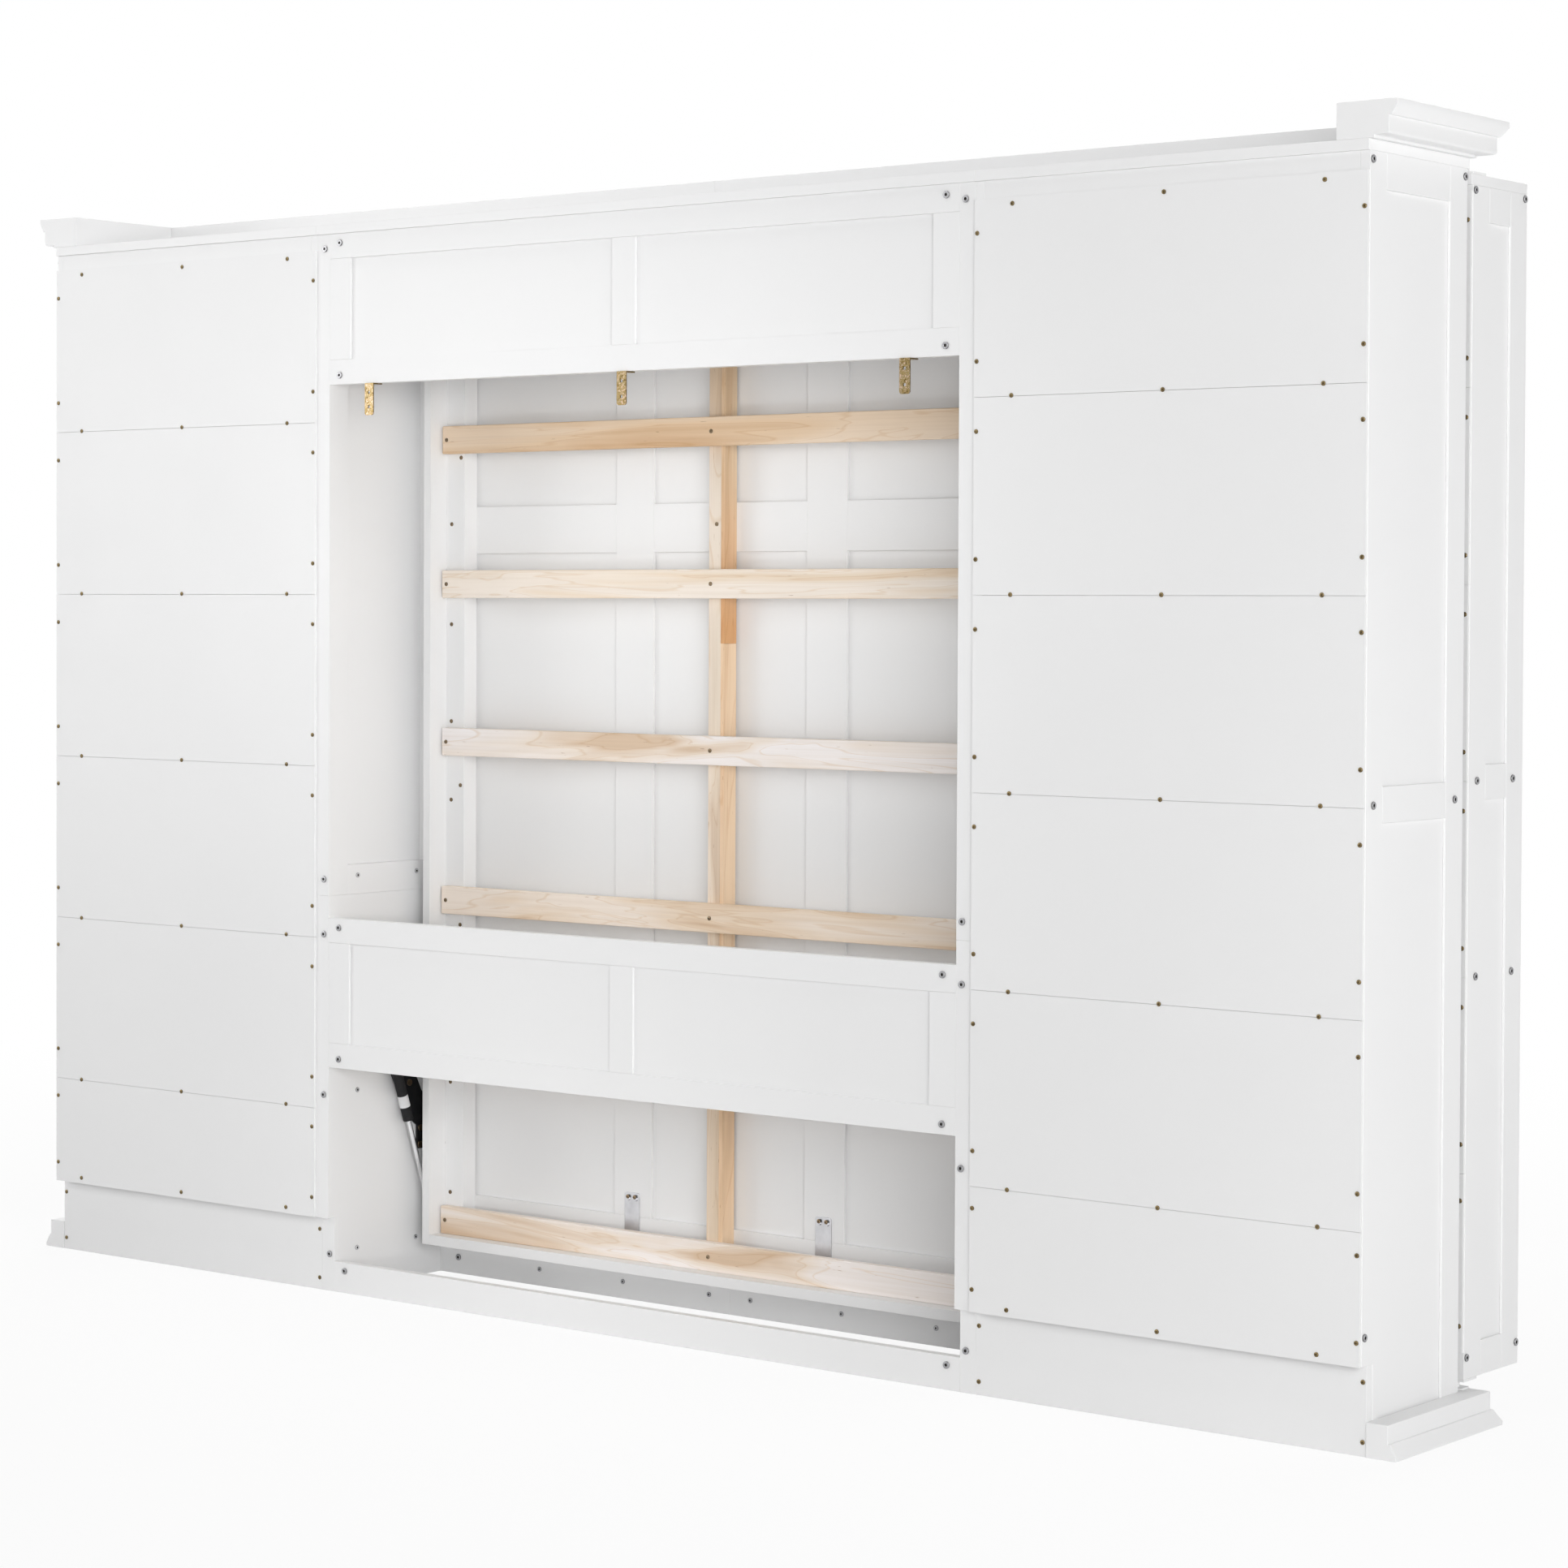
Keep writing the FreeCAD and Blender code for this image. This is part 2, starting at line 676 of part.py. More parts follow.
def wall_brackets():
    """Angle brackets under the top rear frame; the hanging leg is screwed to the wall."""
    seat = carcass_height - dim.rear_height
    spread = post_face - dim.bracket_side_gap
    brackets = []
    for number, across in enumerate((-spread, as_size(0), spread)):
        edges = (across - dim.bracket_width / 2, across + dim.bracket_width / 2)
        leg = plate(f"bracket_leg_{number}", dim.bracket_width, dim.bracket_height,
                    dim.bracket_thick, False, (edges[0], as_size(0), seat - dim.bracket_height))
        arm = board(f"bracket_arm_{number}", edges, (as_size(0), dim.bracket_depth),
                    (seat - dim.bracket_thick, seat))
        holes = []
        for row in range(2):
            height = seat - dim.bracket_hole_gap - dim.bracket_hole_pitch * row
            holes.append(rod(f"bracket_hole_{number}_{row}", "front",
                             (across, -dim.overrun, height), dim.bracket_hole_radius,
                             dim.overrun + dim.bracket_depth))
        angle = fuse(f"bracket_angle_{number}", [leg, arm])
        brackets.append(cut(f"bracket_{number}", angle, group(f"bracket_holes_{number}", holes)))
    node("wall_brackets", *brackets)


def mitred(name, body, corner, keep_front):
    """Cuts a moulding at 45 degrees through its inner corner."""
    wedge = DOC.addObject("Part::Box", f"{name}_wedge")
    reach = half_bed
    for prop in ("Length", "Width", "Height"):
        bind(wedge, prop, reach + reach)
    wedge.Placement.Rotation = FreeCAD.Rotation(FreeCAD.Vector(0, 0, 1), -45)
    slant = math.sqrt(0.5)
    back = as_size(0) if keep_front else (reach + reach) * slant
    bind(wedge, "Placement.Base.x", corner[0] - reach * slant - back)
    bind(wedge, "Placement.Base.y", wall_plane - corner[1] + reach * slant - back)
    bind(wedge, "Placement.Base.z", corner[2] - reach)
    return cut(name, body, wedge)


def moulding(name, corners, arcs, inner, height, rear, tip):
    """A moulding round a front corner: a front length to the middle and a return to the wall."""
    across, depth = inner
    front = padded(f"{name}_front_length", corners, across + tip - dim.glue_gap, arcs)
    front.Placement.Rotation = FreeCAD.Rotation(FreeCAD.Vector(0, 0, 1), -90)
    place(front, across + tip, depth, height)
    side = padded(f"{name}_return_length", corners, depth + tip - rear, arcs)
    place(side, across, rear, height)
    corner = (across, depth, height)
    half = mitred(f"{name}_front_half", front, corner, True)
    node(f"{name}_front", *both_sides([half]))
    pair(f"{name}_return", mitred(f"{name}_return_cut", side, corner, False))


def crown():
    """Cornice: a rounded, rebated fascia under a splay with a square nose."""
    out = dim.crown_width
    tip = out + dim.crown_step_width + dim.crown_slope_width
    fascia_top = dim.crown_rebate_depth + dim.crown_fascia_height
    nose = dim.crown_height - dim.crown_nose_height
    corners = [(0, 0), (dim.crown_seat_width, 0), (dim.crown_seat_width, dim.crown_rebate_depth),
               (out - dim.crown_round_radius, dim.crown_rebate_depth),
               (out, dim.crown_rebate_depth + dim.crown_round_radius), (out, fascia_top),
               (out + dim.crown_step_width, fascia_top), (tip, nose), (tip, dim.crown_height),
               (0, dim.crown_height)]
    arcs = [(3, dim.crown_round_radius, -1)]
    inner = (half_width + dim.crown_overhang - out, dim.carcass_depth + dim.crown_overhang - out)
    moulding("crown", corners, arcs, inner, top_of_boards, as_size(0), tip)


def base():
    """Skirting: a square fascia over a splayed foot that stands on the floor."""
    out = dim.base_width
    tip = out + dim.base_step_width + dim.base_slope_width
    fascia_low = dim.base_height - dim.base_fascia_height
    corners = [(0, 0), (tip, 0), (tip, dim.base_nose_height),
               (out + dim.base_step_width, fascia_low), (out, fascia_low),
               (out, dim.base_height), (0, dim.base_height)]
    inner = (half_width, dim.carcass_depth)
    moulding("base", corners, (), inner, as_size(0), dim.base_rear_gap, tip)


def frame_bolts():
    """Connector bolt heads on the back edges, the outer sides, the base and in the bed bay."""
    heads = []
    edge = post_face + dim.bed_side_thick * POST_BOLT_SIDE_SHARE
    for row, share in enumerate(POST_BOLT_SHARES):
        heads.append(bolt(f"post_bolt_{row}", "back", edge, side_back, carcass_height * share))
    heads.append(bolt("post_foot_bolt", "back", edge, dim.plinth_depth, dim.back_floor_height / 2))
    inset = dim.rear_rail_width * REAR_BOLT_SHARE
    for number, low in enumerate((carcass_height - dim.rear_height, rear_middle)):
        for row, height in enumerate((low + inset, low + dim.rear_height - inset)):
            heads.append(bolt(f"rear_bolt_{number}_{row}", "back", post_face - dim.bolt_end_gap,
                              side_back, height))
    heads.append(bolt("floor_rail_bolt", "back", post_face - dim.bolt_end_gap, dim.plinth_depth,
                      dim.floor_rail_width * FLOOR_BOLT_SHARE))
    ends = (side_back + dim.bolt_edge_gap, dim.carcass_depth - dim.bolt_edge_gap)
    inner = (dim.bolt_end_gap, dim.carcass_depth - dim.bolt_end_gap)
    rows = ((dim.cabinet_floor_height + dim.board_thick / 2, ends[:1]),
            (cabinet_shelf + dim.board_thick / 2, inner),
            (carcass_height - dim.board_thick * TOP_BOLT_SHARE, ends))
    for row, (height, depths) in enumerate(rows):
        for column, depth in enumerate(depths):
            heads.append(bolt(f"side_bolt_{row}_{column}", "out", half_width, depth, height))
    for number, (deep, tall) in enumerate(INNER_BOLT_SHARES):
        heads.append(bolt(f"inner_bolt_{number}", "in", post_face,
                          side_back + (dim.carcass_depth - side_back) * deep,
                          carcass_height * tall))
    for number, share in enumerate(BASE_BOLT_SHARES):
        heads.append(bolt(f"base_bolt_{number}", "back", post_face * share, dim.carcass_depth,
                          dim.base_height * BASE_BOLT_HEIGHT_SHARE))
    node("frame_bolts", *both_sides(heads))


def pivot_plates():
    """Steel plate on the bed side with the bed's pivot pin and the stud of the gas strut."""
    near = dim.plate_width
    far = dim.plate_end_width
    points = [(pivot[0] + near * a, pivot[1] + near * b) for a, b in PIVOT_PLATE_SHARES]
    points += [(strut_top[0] + far * a, strut_top[1] + far * b) for a, b in STUD_PLATE_SHARES]
    points += [(pivot[0] + near * a, pivot[1] + near * b) for a, b in PIVOT_PLATE_HEEL_SHARES]
    blank = padded("pivot_blank", points, dim.plate_thick)
    blank.Placement.Rotation = FreeCAD.Rotation(FreeCAD.Vector(0, 0, 1), -90)
    place(blank, post_face, as_size(0), as_size(0))
    face = post_face - dim.plate_thick
    pin = rod("pivot_pin", "in", (post_face, *pivot), dim.pivot_radius,
              post_face - bed_inside - dim.running_gap)
    sleeve = rod("pivot_sleeve", "in", (post_face, *pivot), dim.sleeve_radius,
                 post_face - rail_face - dim.plate_thick - dim.side_gap)
    stud_bar = rod("strut_stud", "in", (post_face, *strut_top), dim.rod_radius,
                   post_face - strut_line + dim.eye_thick)
    heads = []
    for number, (a, b) in enumerate(PLATE_BOLT_SHARES):
        heads.append(bolt(f"plate_bolt_{number}", "in", face, pivot[0] + near * a,
                          pivot[1] + near * b))
    pair("pivot_plate", fuse("pivot_plate_whole", [blank, pin, sleeve, stud_bar, *heads]))


def strut_frame():
    """Length of a gas strut at rest and the turn that lays a turned body along it."""
    forward = strut_foot[0] - strut_top[0]
    down = strut_top[1] - strut_foot[1]
    lean = math.degrees(math.atan2(forward.value, down.value))
    return span_of(forward, down), FreeCAD.Rotation(FreeCAD.Vector(1, 0, 0), 180 - lean)


def strut_eye(name, body, depth, height):
    """Adds a flat eye round a stud to the end of a strut."""
    half = dim.eye_thick / 2
    disc = rod(f"{name}_disc", "in", (strut_line + half, depth, height), dim.eye_radius,
               dim.eye_thick)
    hole = rod(f"{name}_hole", "in", (strut_line + dim.overrun, depth, height),
               dim.rod_radius + dim.running_gap, dim.overrun + dim.overrun)
    return cut(name, fuse(f"{name}_blank", [body, disc]), hole)


def gas_struts():
    """Gas struts: a hollow barrel with its gland, and a rod with its piston."""
    length, lie = strut_frame()
    start = dim.strut_neck_length
    end = dim.strut_barrel_length
    bore = dim.rod_radius + dim.running_gap
    floor = start + dim.strut_cap_length
    barrel = turned("strut_tube", [
        (0, start), (dim.strut_radius, start), (dim.strut_radius, end), (bore, end),
        (bore, end - dim.strut_gland_length), (dim.strut_bore_radius, end - dim.strut_gland_length),
        (dim.strut_bore_radius, floor), (0, floor)])
    inner = end - dim.rod_inside_length
    piston = dim.strut_bore_radius - dim.running_gap
    shaft = turned("strut_shaft", [
        (0, inner), (piston, inner), (piston, inner + dim.piston_height),
        (dim.rod_radius, inner + dim.piston_height),
        (dim.rod_radius, length - dim.strut_neck_length),
        (0, length - dim.strut_neck_length)])
    for body in (barrel, shaft):
        body.Placement.Rotation = lie
        place(body, strut_line, *strut_top)
    pair("strut_barrel", strut_eye("strut_top_eye", barrel, *strut_top))
    pair("strut_rod", strut_eye("strut_low_eye", shaft, *strut_foot))


def bed_tray():
    """Side rails, end boards, slat ledges, centre beam and slats of the folding bed."""
    deep = ((face_back - dim.bed_rail_width), face_back)
    rail = board("bed_rail_board", (bed_inside, rail_face), deep,
                 (dim.bed_floor_gap, bed_top + dim.end_thick))
    bore = rod("bed_rail_bore", "in", (rail_face + dim.overrun, *pivot),
               dim.pivot_radius + dim.running_gap, dim.board_thick + dim.overrun + dim.overrun)
    pair("bed_rail", cut("bed_rail_cut", rail, bore))
    across = (-bed_inside, bed_inside)
    node("bed_end_boards",
         board("head_board", across, deep, (dim.bed_floor_gap, bed_floor)),
         board("foot_board", across, deep, (bed_top, bed_top + dim.end_thick)))
    under = (slat_front, face_back)
    ledge = board("ledge", (bed_inside - dim.ledge_width, bed_inside), under,
                  (bed_floor, bed_top))
    node("slat_ledges", *both_sides([ledge]))
    beam = (-dim.beam_width / 2, dim.beam_width / 2)
    strip = beam[0] + dim.beam_strip_thick
    split = carcass_height * BEAM_SPLIT_SHARE
    node("centre_beam",
         board("beam_core", (strip, beam[1]), under, (bed_floor, bed_top)),
         board("beam_low_strip", (beam[0], strip - dim.glue_gap), under,
               (bed_floor, split - dim.glue_gap)),
         board("beam_high_strip", (beam[0], strip - dim.glue_gap), under, (split, bed_top)))
    half = bed_inside - dim.slat_gap
    slats, heads, edges = [], [], []
    for number, share in enumerate(SLAT_SHARES):
        middle = bed_floor + dim.slat_width / 2 + (dim.bed_inside_length - dim.slat_width) * share
        edges.append((middle - dim.slat_width / 2, middle + dim.slat_width / 2))
        slats.append(board(f"slat_{number}", (-half, half), (slat_back, slat_front), edges[-1]))
        for column, spot in enumerate((-half + dim.screw_edge_gap, as_size(0),
                                       half - dim.screw_edge_gap)):
            heads.append(screw(f"slat_screw_{number}_{column}", "back", spot, slat_back,
                               middle))
    node("slats", *slats)
    gaps = [(low[1], high[0] - low[1]) for low, high in zip(edges, edges[1:])]
    for number, ((start, gap), spots) in enumerate(zip(gaps, BEAM_SCREW_SHARES)):
        for row, up in enumerate(spots):
            heads.append(screw(f"beam_screw_{number}_{row}", "back", as_size(0), slat_front,
                               start + gap * up))
    ledge_heads = []
    for number, ((start, gap), spots) in enumerate(zip(gaps, LEDGE_SCREW_SHARES)):
        for column, (across, up) in enumerate(spots):
            ledge_heads.append(screw(f"ledge_screw_{number}_{column}", "back",
                                     bed_inside - dim.ledge_width * across, slat_front,
                                     start + gap * up))
    node("bed_screws", *heads, *both_sides(ledge_heads))


def bed_face():
    """Framed front of the bed, three panels wide and two high, with two steel ties behind."""
    skin = (face_back, face_front)
    mid_rail = carcass_height * FACE_MID_RAIL_SHARE
    stiles = [(-face_edge, -face_edge + dim.face_stile_width),
              (face_edge - dim.face_stile_width, face_edge)]
    rails = [(dim.face_floor_gap, dim.face_floor_gap + dim.face_rail_width),
             (mid_rail, mid_rail + dim.face_rail_width),
             (face_high - dim.face_rail_width, face_high)]
    half = dim.face_muntin_width / 2
    muntins = [(spot - half, spot + half)
               for spot in (-muntin_place, muntin_place)]
    members, panels = framed("bed_face", "room", skin, dim.face_floor_gap, face_high, stiles, rails,
                             muntins)
    node("face_frame", *members)
    node("face_panels", *panels)
    edges = (muntin_place - dim.tie_width / 2, muntin_place + dim.tie_width / 2)
    back = face_back - dim.tie_thick
    tie = plate("tie", dim.tie_width, dim.tie_height, dim.tie_thick, True,
                (edges[0], back, bed_floor))
    heads = [screw(f"tie_screw_{number}", "back", edges[0] + dim.tie_width * share, back,
                   bed_floor + dim.tie_height - dim.screw_edge_gap)
             for number, share in enumerate(TIE_SCREW_SHARES)]
    node("face_ties", *both_sides([fuse("tie_whole", [tie, *heads])]))


def bed_brackets():
    """Steel plates on the bed rails: a bush for the pivot pin and the stud for the gas strut."""
    half = dim.foot_plate_width / 2
    skin = (rail_face, rail_face + dim.plate_thick)
    bush = board("bush_plate", skin, (pivot[0] - half, pivot[0] + half),
                 (dim.pivot_height - dim.foot_plate_width, dim.pivot_height + dim.foot_plate_width))
    bore = rod("bush_bore", "in", (rail_face + dim.overrun, *pivot),
               dim.pivot_radius + dim.running_gap, dim.overrun + dim.overrun)
    foot = board("strut_foot_plate", skin, (strut_foot[0] - half, strut_foot[0] + half),
                 (dim.bed_floor_gap, strut_foot[1] + half))
    stud = rod("strut_foot_stud", "out",
               (rail_face, *strut_foot), dim.rod_radius,
               strut_line - dim.eye_thick / 2 - dim.side_gap - rail_face)
    pieces = [cut("bush_plate_cut", bush, bore), fuse("strut_foot", [foot, stud])]
    node("bed_brackets", *both_sides(pieces))


def legs():
    """A flat steel frame that lies in the middle panel's recess and swings out as the bed's foot."""
    half = dim.leg_width / 2
    inner, outer = leg_place - half, leg_place + half
    reach = dim.pivot_height - (leg_depth - pivot[0]) - dim.leg_floor_gap
    foot = leg_axis - reach
    deep = (leg_depth - dim.leg_thick / 2, leg_depth + dim.leg_thick / 2)
    post = board("leg_post", (inner, outer), deep, (foot, leg_axis))
    knuckle = rod("leg_knuckle", "out", (inner, leg_depth, leg_axis), dim.leg_thick / 2,
                  dim.leg_width)
    bore = rod("leg_bore", "out", (inner - dim.overrun, leg_depth, leg_axis),
               dim.leg_pin_radius + dim.running_gap, dim.leg_width + dim.overrun + dim.overrun)
    leg = cut("leg_cut", fuse("leg_blank", [post, knuckle]), bore)
    bar = board("leg_bar_board", glued(-inner, inner), deep, (foot, foot + dim.leg_bar_width))
    node("leg_frame", *both_sides([leg]), bar)
    tall = (leg_axis - dim.leg_axis_gap, leg_axis + dim.leg_axis_gap)
    ears = [board(f"leg_ear_{number}", edges, deep, tall) for number, edges in enumerate((
        (inner - dim.side_gap - dim.leg_ear_thick, inner - dim.side_gap),
        (outer + dim.side_gap, outer + dim.side_gap + dim.leg_ear_thick)))]
    pin = rod("leg_hinge_pin", "out",
              (inner - dim.side_gap - dim.leg_ear_thick, leg_depth, leg_axis), dim.leg_pin_radius,
              dim.leg_width + (dim.side_gap + dim.leg_ear_thick) * 2)
    node("leg_hinges", *both_sides([fuse("leg_hinge", [*ears, pin])]))


def book_shelf_heights():
    """Middle heights of the fixed and loose shelves, level with the seams of the back."""
    return [book_first + book_pitch * number for number in range(TALL_BOOK_PANELS)]


def bookcases():
    """Shallow bookcases, open to the room, that swing like doors in front of the cabinets."""
    deep = (book_back + dim.back_thick, book_front)
    stiles = [(deep[0], deep[0] + dim.stile_width), (deep[1] - dim.stile_width, deep[1])]
    side_high = book_high - dim.board_thick
    mid_rail = carcass_height * BOOK_MID_RAIL_SHARE
    rails = [(dim.book_floor_gap, dim.book_floor_gap + dim.stile_width),
             (mid_rail, mid_rail + dim.stile_width),
             (side_high - dim.stile_width, side_high)]
    pieces = []
    for name, edge in (("book_inner", book_inner), ("book_outer", half_width - dim.board_thick)):
        members, panels = framed(name, "across", (edge, edge + dim.board_thick), dim.book_floor_gap,
                                 side_high, stiles, rails)
        pieces += members + panels
    pair("bookcase_sides", *pieces)
    across = (book_inner + dim.board_thick, half_width - dim.board_thick)
    boards = [board("book_top", (book_inner, half_width), (book_back, book_front),
                    (side_high, book_high)),
              board("book_floor", across, deep, (book_floor, book_floor + dim.board_thick)),
              board("book_rear_rail", across, (deep[0], deep[0] + dim.board_thick),
                    (side_high - dim.cabinet_rail_width, side_high)),
              board("book_toe_rail", across, (deep[0], deep[0] + dim.board_thick),
                    (dim.book_floor_gap, book_floor - dim.glue_gap)),
              board("book_hinge_block", (across[1] - dim.hinge_block_width, across[1]),
                    (deep[0] + dim.board_thick + dim.glue_gap, deep[0] + dim.hinge_block_width),
                    (dim.book_floor_gap, book_floor - dim.glue_gap))]
    for number, height in enumerate(book_shelf_heights()):
        boards.append(board(f"book_shelf_{number}", across, deep,
                            (height - dim.board_thick / 2, height + dim.board_thick / 2)))
    pair("bookcase_shelves", *boards)
    edges = [book_back_low, *book_shelf_heights()]
    edges.append(edges[-1] + book_pitch)
    wide = (book_inner + dim.back_edge_gap, half_width - dim.back_edge_gap)
    backs = [board(f"book_back_{number}", wide, (book_back, book_back + dim.back_thick),
                   (low, high - dim.back_seam_gap))
             for number, (low, high) in enumerate(zip(edges, edges[1:]))]
    pair("bookcase_backs", *backs)


def bookcase_bolts():
    """Connector bolt heads on the outer side of a bookcase, at its fixed boards."""
    shelves = book_shelf_heights()
    back = book_back + dim.back_thick
    ends = (back + dim.bolt_edge_gap, book_front - dim.bolt_edge_gap)
    inner = (back + dim.bolt_end_gap, book_front - dim.bolt_end_gap - dim.bolt_edge_gap)
    rows = ((book_floor + dim.board_thick / 2, ends), (shelves[1], inner), (shelves[2], inner),
            (book_high - dim.board_thick - dim.bolt_edge_gap, ends))
    heads = []
    for row, (height, depths) in enumerate(rows):
        for column, depth in enumerate(depths):
            heads.append(bolt(f"book_bolt_{row}_{column}", "out", half_width, depth, height))
    pair("bookcase_bolts", *heads)


def bookcase_hinges():
    """Pivot hinges: pins on the base and under the crown, and shoes with their holes."""
    wide = (half_width - dim.hinge_plate_length, half_width)
    shoe_deep = (book_back + dim.back_thick, book_back + dim.back_thick + dim.hinge_plate_length)
    spot = (hinge_across, hinge_depth)
    base_top = dim.base_height
    low_end = dim.book_floor_gap
    low_plate = board("hinge_base_plate", wide,
                      (hinge_depth - dim.hinge_plate_depth, hinge_depth + dim.hinge_back_gap),
                      (base_top, base_top + dim.hinge_plate_thick))
    low_pin = rod("hinge_base_pin", "up", (*spot, base_top), dim.hinge_pin_radius,
                  low_end - base_top - dim.side_gap)
    crown_face = top_of_boards + dim.crown_rebate_depth
    edge = dim.carcass_depth + dim.crown_overhang - dim.crown_round_radius
    high_plate = board("hinge_crown_plate", wide, (hinge_depth - dim.hinge_plate_depth, edge),
                       (crown_face - dim.hinge_plate_thick, crown_face))
    high_pin = rod("hinge_crown_pin", "up", (*spot, book_high + dim.side_gap), dim.hinge_pin_radius,
                   crown_face - book_high - dim.side_gap)
    pins = [fuse("hinge_base", [low_plate, low_pin]), fuse("hinge_crown", [high_plate, high_pin])]
    node("hinge_pins", *both_sides(pins))
    shoes = []
    for name, low in (("low", low_end - dim.hinge_shoe_thick), ("high", book_high)):
        plate = board(f"hinge_shoe_{name}", wide, shoe_deep, (low, low + dim.hinge_shoe_thick))
        hole = rod(f"hinge_shoe_hole_{name}", "up", (*spot, low - dim.overrun),
                   dim.hinge_pin_radius + dim.running_gap,
                   dim.hinge_shoe_thick + dim.overrun + dim.overrun)
        shoes.append(cut(f"hinge_shoe_{name}_cut", plate, hole))
    pair("hinge_shoes", *shoes)


def check_document():
    """Stops if any object failed, or a sub-part has no valid solid."""
    DOC.recompute()
    for item in DOC.Objects:
        bad = {"Invalid", "Error"} & set(item.State)
        if bad:
            raise RuntimeError(f"{item.Label}: {item.State}")
    for label, item in NODES.items():
        shape = item.Shape
        if shape.isNull() or not shape.isValid() or not shape.Solids:
            raise RuntimeError(f"{label} has no valid solid")


def export_nodes():
    os.makedirs("parts", exist_ok=True)
    for label, item in NODES.items():
        item.Shape.exportStep(os.path.join("parts", f"{label}.step"))


def main():
    fill_sheet()
    for build in (cabinet_sides, cabinet_boards, cabinet_back, back_screws, top_boards, bed_sides,
                  rear_frames, wall_brackets, crown, base, frame_bolts, pivot_plates, gas_struts,
                  bed_tray, bed_face, bed_brackets, legs, bookcases, bookcase_bolts,
                  bookcase_hinges):
        build()
    check_document()
    export_nodes()
    solids = sum(len(item.Shape.Solids) for item in NODES.values())
    print(f"{len(NODES)} nodes, {solids} solids")


main()
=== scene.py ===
"""Looks of the folding wall bed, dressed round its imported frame.

Lengths are in metres, +Z is up, the room side faces -Y and the wall side +Y.
"""
import json
import math

import bpy
from mathutils import Matrix, Vector


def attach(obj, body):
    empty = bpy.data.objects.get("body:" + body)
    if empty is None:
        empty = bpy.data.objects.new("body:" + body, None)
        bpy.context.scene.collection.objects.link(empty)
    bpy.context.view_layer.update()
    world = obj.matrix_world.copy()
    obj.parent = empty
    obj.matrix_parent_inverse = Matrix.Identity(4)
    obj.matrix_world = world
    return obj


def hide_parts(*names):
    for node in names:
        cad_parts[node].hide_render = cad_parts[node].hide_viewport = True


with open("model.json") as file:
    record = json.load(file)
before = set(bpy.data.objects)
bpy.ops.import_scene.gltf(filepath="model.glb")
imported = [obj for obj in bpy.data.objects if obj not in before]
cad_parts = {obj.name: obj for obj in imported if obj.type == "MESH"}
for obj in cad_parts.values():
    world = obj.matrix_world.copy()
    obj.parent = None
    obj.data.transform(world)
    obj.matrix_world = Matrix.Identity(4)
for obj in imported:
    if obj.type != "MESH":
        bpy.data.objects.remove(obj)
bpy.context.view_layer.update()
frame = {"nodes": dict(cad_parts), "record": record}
RECORD = frame["record"]
BODY_OF = {node: body for body, nodes in RECORD["behaviour"]["bodies"].items() for node in nodes}
SLOT_OF = {entry["node"]: entry["material_slot"] for entry in RECORD["subparts"]}
JOINTS = {joint["name"]: joint for joint in RECORD["behaviour"]["joints"]}
SIDES = ("right", "left")
WALL_SIDE = Vector((0, 1, 0))
WHITE = (1.0, 1.0, 1.0)
MM = 0.001

# Angles and reaches for cleaning up meshes
SMOOTH_ANGLE = math.radians(35)
EDGE_ANGLE = math.radians(40)
FLAT_ANGLE = math.radians(0.5)
MERGE_REACH = 0.01 * MM
CORNER_GRID = 0.02 * MM
FLUSH = 0.05 * MM

# Eased edges
BACK_EASE = 0.15 * MM
BACK_LIFT = 0.5 * MM
BOARD_EASE = 0.7 * MM
ROUND_EASE = 0.8 * MM
SLAT_EASE = 2.0 * MM
STRAP_EASE = 0.4 * MM
STEEL_EASE = 0.5 * MM
PLATE_EASE = 0.6 * MM

# Radius and height of the heads, and the turn from each head to the next
SCREW_HEAD = (4.0 * MM, 2.0 * MM)
BOLT_HEAD = (6.5 * MM, 2.5 * MM)
SMALL_BOLT_HEAD = (4.9 * MM, 2.0 * MM)
HEAD_TURN = 37.0

# Heads nearer the middle than these belong to the bed bay and to its cross frames
BAY_REACH = 1.0
CROSS_REACH = 0.7

# Screws of a pivot plate, as shares of its reach from the bed's pin
PLATE_REACH = 62.0 * MM
PLATE_SCREWS = ((-0.44, -0.1), (-0.42, 0.44), (-0.94, 1.95))
PLATE_SCREW_RADIUS = 6.8 * MM
PLATE_THICKNESS = 5.0 * MM
PLATE_SCREW_STEP = 0.1 * MM

# Screws of the face ties and the bookcase backs
TIE_SCREW_DROP = 8.0 * MM
BACK_SCREW_INSET = 6.0 * MM
BACK_SCREW_RISE = 1.0 * MM

# Film on the gas struts
FILM_RADIUS = 10.55 * MM
FILM_LENGTH = 24.3 * MM
FILM_WALL = 0.12 * MM
FILM_LAP = 0.08 * MM
FILM_LAP_FROM = 9.5 * MM
FILM_PLACE = 255.0 * MM


# Selecting and shaping by hand


def linked(name, data):
    """A new object in the scene from a mesh, a lamp or a camera."""
    thing = bpy.data.objects.new(name, data)
    bpy.context.scene.collection.objects.link(thing)
    return thing


def deselect():
    if bpy.context.object and bpy.context.object.mode != "OBJECT":
        bpy.ops.object.mode_set(mode="OBJECT")
    bpy.ops.object.select_all(action="DESELECT")


def take(piece):
    deselect()
    piece.select_set(True)
    bpy.context.view_layer.objects.active = piece


def edit(mode="FACE"):
    bpy.ops.object.mode_set(mode="EDIT")
    bpy.context.tool_settings.mesh_select_mode = (mode == "VERT", mode == "EDGE", mode == "FACE")


def leave_edit():
    bpy.ops.object.mode_set(mode="OBJECT")


def pick_faces(piece, test):
    """Selects the faces of a piece that pass the test, and goes on in edit mode."""
    edit()
    bpy.ops.mesh.select_all(action="DESELECT")
    leave_edit()
    for face in piece.data.polygons:
        face.select = test(face)
    edit()


def faces_up(face):
    return face.normal.z > 0.9


